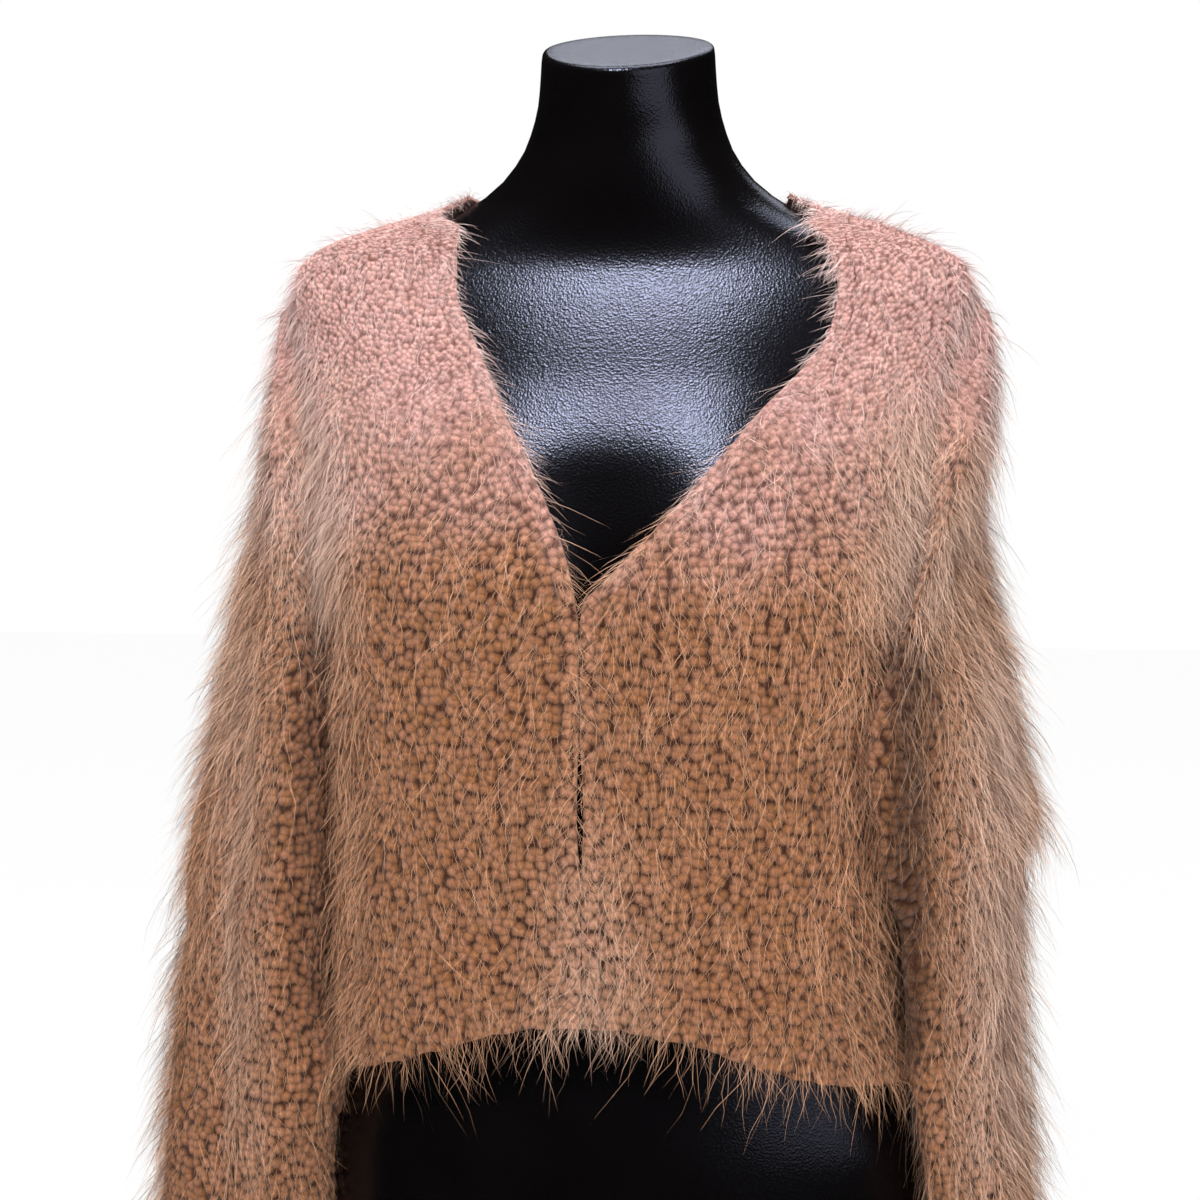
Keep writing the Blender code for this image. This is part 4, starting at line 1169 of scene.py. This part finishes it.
class Nodes:
    """A material's node tree, with short ways to add and link nodes."""

    def __init__(self, name):
        self.material = bpy.data.materials.new(name)
        self.material.use_nodes = True
        self.tree = self.material.node_tree
        self.shader = self.tree.nodes["Principled BSDF"]

    def add(self, kind, inputs=None, **settings):
        node = self.tree.nodes.new(kind)
        for key, value in settings.items():
            setattr(node, key, value)
        for key, value in (inputs or {}).items():
            self.feed(node, key, value)
        return node

    def feed(self, node, key, value):
        if isinstance(value, bpy.types.NodeSocket):
            self.tree.links.new(value, node.inputs[key])
        else:
            node.inputs[key].default_value = value

    def finish(self, inputs):
        """Feeds the shader's sockets and hands over the material."""
        for key, value in inputs.items():
            self.feed(self.shader, key, value)
        return self.material

    def mix(self, factor, a, b, blend="MIX"):
        node = self.add("ShaderNodeMix", {0: factor, 6: a, 7: b}, data_type="RGBA", blend_type=blend)
        return node.outputs[2]

    def ramp(self, value, low, high, out_low=0.0, out_high=1.0, kind="SMOOTHSTEP"):
        inputs = dict(enumerate((value, low, high, out_low, out_high)))
        return self.add("ShaderNodeMapRange", inputs, interpolation_type=kind).outputs[0]

    def line(self, value, out_low, out_high, low=0.0, high=1.0):
        return self.ramp(value, low, high, out_low, out_high, "LINEAR")

    def sum(self, a, b, operation="ADD"):
        return self.add("ShaderNodeMath", {0: a, 1: b}, operation=operation).outputs[0]

    def times(self, a, b):
        return self.sum(a, b, "MULTIPLY")

    def attribute(self, name):
        return self.add("ShaderNodeAttribute", attribute_name=name).outputs["Fac"]

    def position(self):
        return self.add("ShaderNodeNewGeometry").outputs["Position"]

    def height(self):
        return self.add("ShaderNodeSeparateXYZ", {0: self.position()}).outputs["Z"]

    def noise(self, size, detail=2.0, rough=0.5):
        inputs = {"Vector": self.position(), "Scale": 1 / size, "Detail": detail, "Roughness": rough}
        return self.add("ShaderNodeTexNoise", inputs).outputs["Fac"]

    def bump(self, height, distance, strength):
        inputs = {"Height": height, "Distance": distance, "Strength": strength}
        return self.add("ShaderNodeBump", inputs).outputs[0]

    def lit(self, colour, bright):
        """The colour times a brightness."""
        shade = self.add("ShaderNodeCombineColor", {0: bright, 1: bright, 2: bright}).outputs[0]
        return self.mix(1.0, colour, shade, "MULTIPLY")


def height_share(nodes, low, high):
    """0 below one height and 1 above another, with a wavering edge."""
    waver = nodes.line(nodes.noise(PINK_WAVER_SIZE, 3.0), -PINK_WAVER, PINK_WAVER, 0.3, 0.7)
    return nodes.ramp(nodes.sum(nodes.height(), waver), low, high)


def knit_material(name, pink_heights, low_colour):
    """Bobbly knit: pink at the shoulders, camel below, with painted shade between the bobbles and in the
    sleeve creases, a painted highlight on each bobble's middle, and paler in the haze, partly a painted
    highlight on the sleeve ridges.
    """
    nodes = Nodes(name)
    flat = nodes.add("ShaderNodeUVMap", uv_map="cloth").outputs[0]
    fine = nodes.ramp(nodes.height(), FINE_FROM_Z, FINE_TO_Z)
    cells = []
    for size in (BOBBLE, FINE_BOBBLE):
        texture = nodes.add("ShaderNodeTexVoronoi", {"Vector": flat})
        set_cells(texture, size)
        cells.append(texture)
    coarse_near, fine_near = (texture.outputs["Distance"] for texture in cells)
    mixed = nodes.add("ShaderNodeMix", {0: fine, 2: coarse_near, 3: fine_near}, data_type="FLOAT")
    near = mixed.outputs[0]
    tint = nodes.add("ShaderNodeSeparateColor", {0: cells[0].outputs["Color"]})
    high = height_share(nodes, *pink_heights)
    colour = nodes.mix(high, low_colour, PINK)
    # Paler knit in the haze: pale pile, and on the sleeve ridges partly a painted highlight
    colour = nodes.mix(nodes.line(nodes.attribute("pale_haze_and_painted_ridge_light"), 0.0, 0.65), colour, PALE_CAMEL)
    colour = nodes.mix(nodes.line(tint.outputs[0], 0.0, 0.25), colour, ROSE)
    grain = nodes.noise(YARN_GRAIN, 4.0, 0.75)
    bright = nodes.line(grain, 0.55, 1.40, 0.25, 0.8)
    bright = nodes.times(bright, nodes.line(tint.outputs[1], 0.82, 1.14))
    # Painted highlight and shade on each bobble: brighter at its middle, darker towards its edge, less so
    # at the shoulders
    bobble_edge_painted_shade = nodes.line(fine, 0.60, 0.84)
    bright = nodes.times(bright, nodes.ramp(near, 0.10, 0.62, 1.26, bobble_edge_painted_shade))
    # Painted shade in the crease beside each sleeve
    bright = nodes.times(bright, nodes.ramp(nodes.attribute("painted_crease"), 0.0, 1.0, 1.0, KNIT_BRIGHTNESS_IN_PAINTED_CREASE_SHADE))
    colour = nodes.lit(colour, bright)
    # Painted shade in the gaps between the bobbles
    edge = nodes.sum(near, nodes.line(grain, -0.16, 0.16, 0.2, 0.8))
    gap = nodes.ramp(edge, *BOBBLE_GAP_PAINTED_SHADE)
    deep = nodes.mix(high, GAP_PAINTED_SHADE, PINK_GAP_PAINTED_SHADE)
    round_top = nodes.ramp(near, BOBBLE_EDGE, 0.0)
    relief = nodes.sum(round_top, nodes.line(grain, 0.0, 0.90))
    return nodes.finish({
        "Base Color": nodes.mix(gap, colour, deep),
        "Roughness": 0.95,
        "Specular IOR Level": 0.10,
        "Sheen Weight": 0.20,
        "Sheen Roughness": 0.45,
        "Sheen Tint": (1.0, 0.80, 0.70, 1.0),
        "Normal": nodes.bump(relief, 0.0021, 0.9),
    })


def hair_material():
    """Long pale hairs, pinker at the shoulders, with painted shade towards the root and in the sleeve
    creases, and paler in the haze, partly a painted highlight on the sleeve ridges.
    """
    nodes = Nodes("hair")
    high = height_share(nodes, *HAIR_PINK_HEIGHTS)
    tip = nodes.mix(high, HAIR_CAMEL, HAIR_PINK)
    root = nodes.mix(high, CAMEL, PINK)
    # Paler tips in the haze: pale pile, and on the sleeve ridges partly a painted highlight
    tip = nodes.mix(nodes.attribute("pale_haze_and_painted_ridge_light"), tip, HAIR_PALE)
    # Painted shade: each hair darkens towards its root, down in the pile
    colour = nodes.mix(nodes.ramp(nodes.attribute("along"), 0.0, 0.55), root, tip)
    bright = nodes.line(nodes.attribute("tint"), 0.60, 1.30)
    # Painted shade in the crease beside each sleeve
    bright = nodes.times(bright, nodes.ramp(nodes.attribute("painted_crease"), 0.0, 1.0, 1.0, HAIR_BRIGHTNESS_IN_PAINTED_CREASE_SHADE))
    return nodes.finish({
        "Base Color": nodes.lit(colour, bright),
        "Roughness": 0.55,
        "Specular IOR Level": 0.35,
        "Sheen Weight": 0.25,
    })


def form_material():
    """Black moulded plastic with a fine pebble grain and a soft bluish shine."""
    nodes = Nodes("form_black")
    grain = nodes.add("ShaderNodeTexVoronoi", {"Vector": nodes.position(), "Scale": 1 / PEBBLE})
    relief = nodes.sum(grain.outputs["Distance"], nodes.noise(PEBBLE_NOISE, 2.0))
    return nodes.finish({
        "Base Color": nodes.mix(nodes.noise(0.05, 2.0), BLACK, SOFT_BLACK),
        "Roughness": 0.22,
        "Specular IOR Level": 0.30,
        "Specular Tint": (0.66, 0.72, 1.0, 1.0),
        "Normal": nodes.bump(relief, 0.0003, 0.35),
    })


def wire_material():
    """Plain bright steel of the hooks and eyes, with fine scratches."""
    nodes = Nodes("wire_steel")
    scratch = nodes.noise(SCRATCH, 2.0)
    return nodes.finish({
        "Base Color": nodes.mix(scratch, STEEL, BRIGHT_STEEL),
        "Metallic": 1.0,
        "Roughness": nodes.line(scratch, 0.22, 0.42, 0.2, 0.8),
    })


def dress(thing, material, slot, *replaced):
    """Gives a new piece its material and its body, and hides the nodes that it stands for. The slot is not
    used.
    """
    thing.data.materials.append(material)
    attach(thing, "root")
    if replaced:
        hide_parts(*replaced)
    return thing


def make_stage():
    """A plain pale floor, near white to the camera."""
    mesh = bpy.data.meshes.new("floor")
    corners = [(x * FLOOR_REACH, y * FLOOR_REACH, 0) for x, y in ((-1, -1), (1, -1), (1, 1), (-1, 1))]
    mesh.from_pydata(corners, [], [(0, 1, 2, 3)])
    floor = add_object("floor", mesh)
    nodes = Nodes("floor_pale")
    nodes.finish({"Base Color": (0.85, 0.85, 0.85, 1), "Roughness": 0.9})
    seen = nodes.add("ShaderNodeLightPath").outputs["Is Camera Ray"]
    white = nodes.add("ShaderNodeEmission", {"Color": (1, 1, 1, 1), "Strength": 1.0})
    sources = {0: nodes.times(seen, FLOOR_WHITE), 1: nodes.shader.outputs[0], 2: white.outputs[0]}
    mixed = nodes.add("ShaderNodeMixShader", sources)
    nodes.feed(nodes.tree.nodes["Material Output"], "Surface", mixed.outputs[0])
    mesh.materials.append(nodes.material)
    floor.visible_glossy = False


def aim(thing, place, back):
    """Puts a light or the camera in its place, facing away from the direction back."""
    thing.location = place
    thing.rotation_mode = "QUATERNION"
    thing.rotation_quaternion = (-back).to_track_quat("-Z", "Y")


def make_lights():
    """Soft studio light from above the front, with a low fill and a white surround."""
    for name, place, aim_z, wide, high, power, colour in LIGHTS:
        light = bpy.data.lights.new(name, "AREA")
        light.shape = "RECTANGLE"
        light.size = wide
        light.size_y = high
        light.energy = power
        light.color = colour
        aim(add_object(name, light), place, Vector(place) - Vector((0, 0, aim_z)))
    world = bpy.data.worlds.new("studio")
    bpy.context.scene.world = world
    world.use_nodes = True
    tree = world.node_tree
    tree.nodes.clear()
    seen = tree.nodes.new("ShaderNodeLightPath")
    output = tree.nodes.new("ShaderNodeOutputWorld")
    mirrored = surround(tree, seen.outputs["Is Glossy Ray"], WORLD_AMBIENT, WORLD_MIRRORED)
    shown = surround(tree, seen.outputs["Is Camera Ray"], None, 1.0)
    tree.links.new(mirrored, shown.node.inputs[1])
    tree.links.new(shown, output.inputs[0])


def surround(tree, ray, otherwise, strength):
    """White of one strength for one kind of ray, and of another strength, if given, for the rest."""
    mixed = tree.nodes.new("ShaderNodeMixShader")
    tree.links.new(ray, mixed.inputs[0])
    for slot, level in ((1, otherwise), (2, strength)):
        if level is not None:
            glow = tree.nodes.new("ShaderNodeBackground")
            glow.inputs["Color"].default_value = (1, 1, 1, 1)
            glow.inputs["Strength"].default_value = level
            tree.links.new(glow.outputs[0], mixed.inputs[slot])
    return mixed.outputs[0]


def make_camera():
    turn, rise = math.radians(VIEW_TURN), math.radians(VIEW_RISE)
    back = Vector((math.sin(turn) * math.cos(rise), -math.cos(turn) * math.cos(rise), math.sin(rise)))
    data = bpy.data.cameras.new("camera")
    data.lens = VIEW_LENS
    data.sensor_width = VIEW_SENSOR
    camera = add_object("camera", data)
    aim(camera, Vector(VIEW_AIM) + back * VIEW_FAR, back)
    bpy.context.scene.camera = camera


def make_cardigan():
    knit = knit_material("knit_camel_pink", KNIT_PINK_HEIGHTS, CAMEL)
    edge = knit_material("knit_edge", EDGE_PINK_HEIGHTS, EDGE_CAMEL)
    hair = hair_material()

    def add_cloth(node, surface, cells, flat, material, slot, seed, hairs,
                  closed=False, area=None, **ways):
        """A cloth piece and its hairs. The size that it was cut to is not used."""
        hair_ways = ways.pop("hair_ways", {})
        cloth = Cloth(surface, cells, closed, seed, **ways)
        shell = dress(cloth.make(node + "_knit"), material, slot, node)
        counts = [count // QUICK_SHARE for count in hairs]
        strands = make_hair(node + "_hair", cloth, counts, seed + HAIR_SEED, **hair_ways)
        dress(strands, hair, slot)

    band_ways = {"high": BAND_HIGH_SHARE, "hair_ways": {"long": BAND_HAIR_LONG, "edgeward": BAND_EDGEWARD}}
    for side, end in ((1, "left"), (-1, "right")):
        add_cloth("front_" + end, front_surface(side), FRONT_CELLS, (0.26, 0.51), knit, "knit",
                  SEEDS["front"] + side, HAIRS["front"], area=0.095)
        add_cloth("sleeve_" + end, sleeve_surface(side), SLEEVE_CELLS, (0.36, 0.59), knit, "knit",
                  SEEDS["sleeve"] + side, HAIRS["sleeve"], closed=True, area=0.160)
        add_cloth("band_" + end, band_surface(side), BAND_CELLS, (0.010, 0.56), edge, "band",
                  SEEDS["band"] + side, HAIRS["band"], **band_ways)
    add_cloth("back", back_surface, BACK_CELLS, (0.51, 0.51), knit, "knit",
              SEEDS["back"], HAIRS["back"], area=0.23, from_behind=True)
    add_cloth("band_back", band_back_surface, BAND_BACK_CELLS, (0.011, 0.30), edge, "band",
              SEEDS["band_back"], HAIRS["band_back"], **band_ways)


def finish_wire():
    steel = wire_material()
    for name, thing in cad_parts.items():
        if name.startswith(("hook_", "eye_")):
            thing.data.materials.clear()
            thing.data.materials.append(steel)


make_camera()
make_lights()
make_stage()
dress(make_form(), form_material(), "form", "dress_form")
make_cardigan()
finish_wire()
bpy.context.scene.view_settings.view_transform = "Standard"
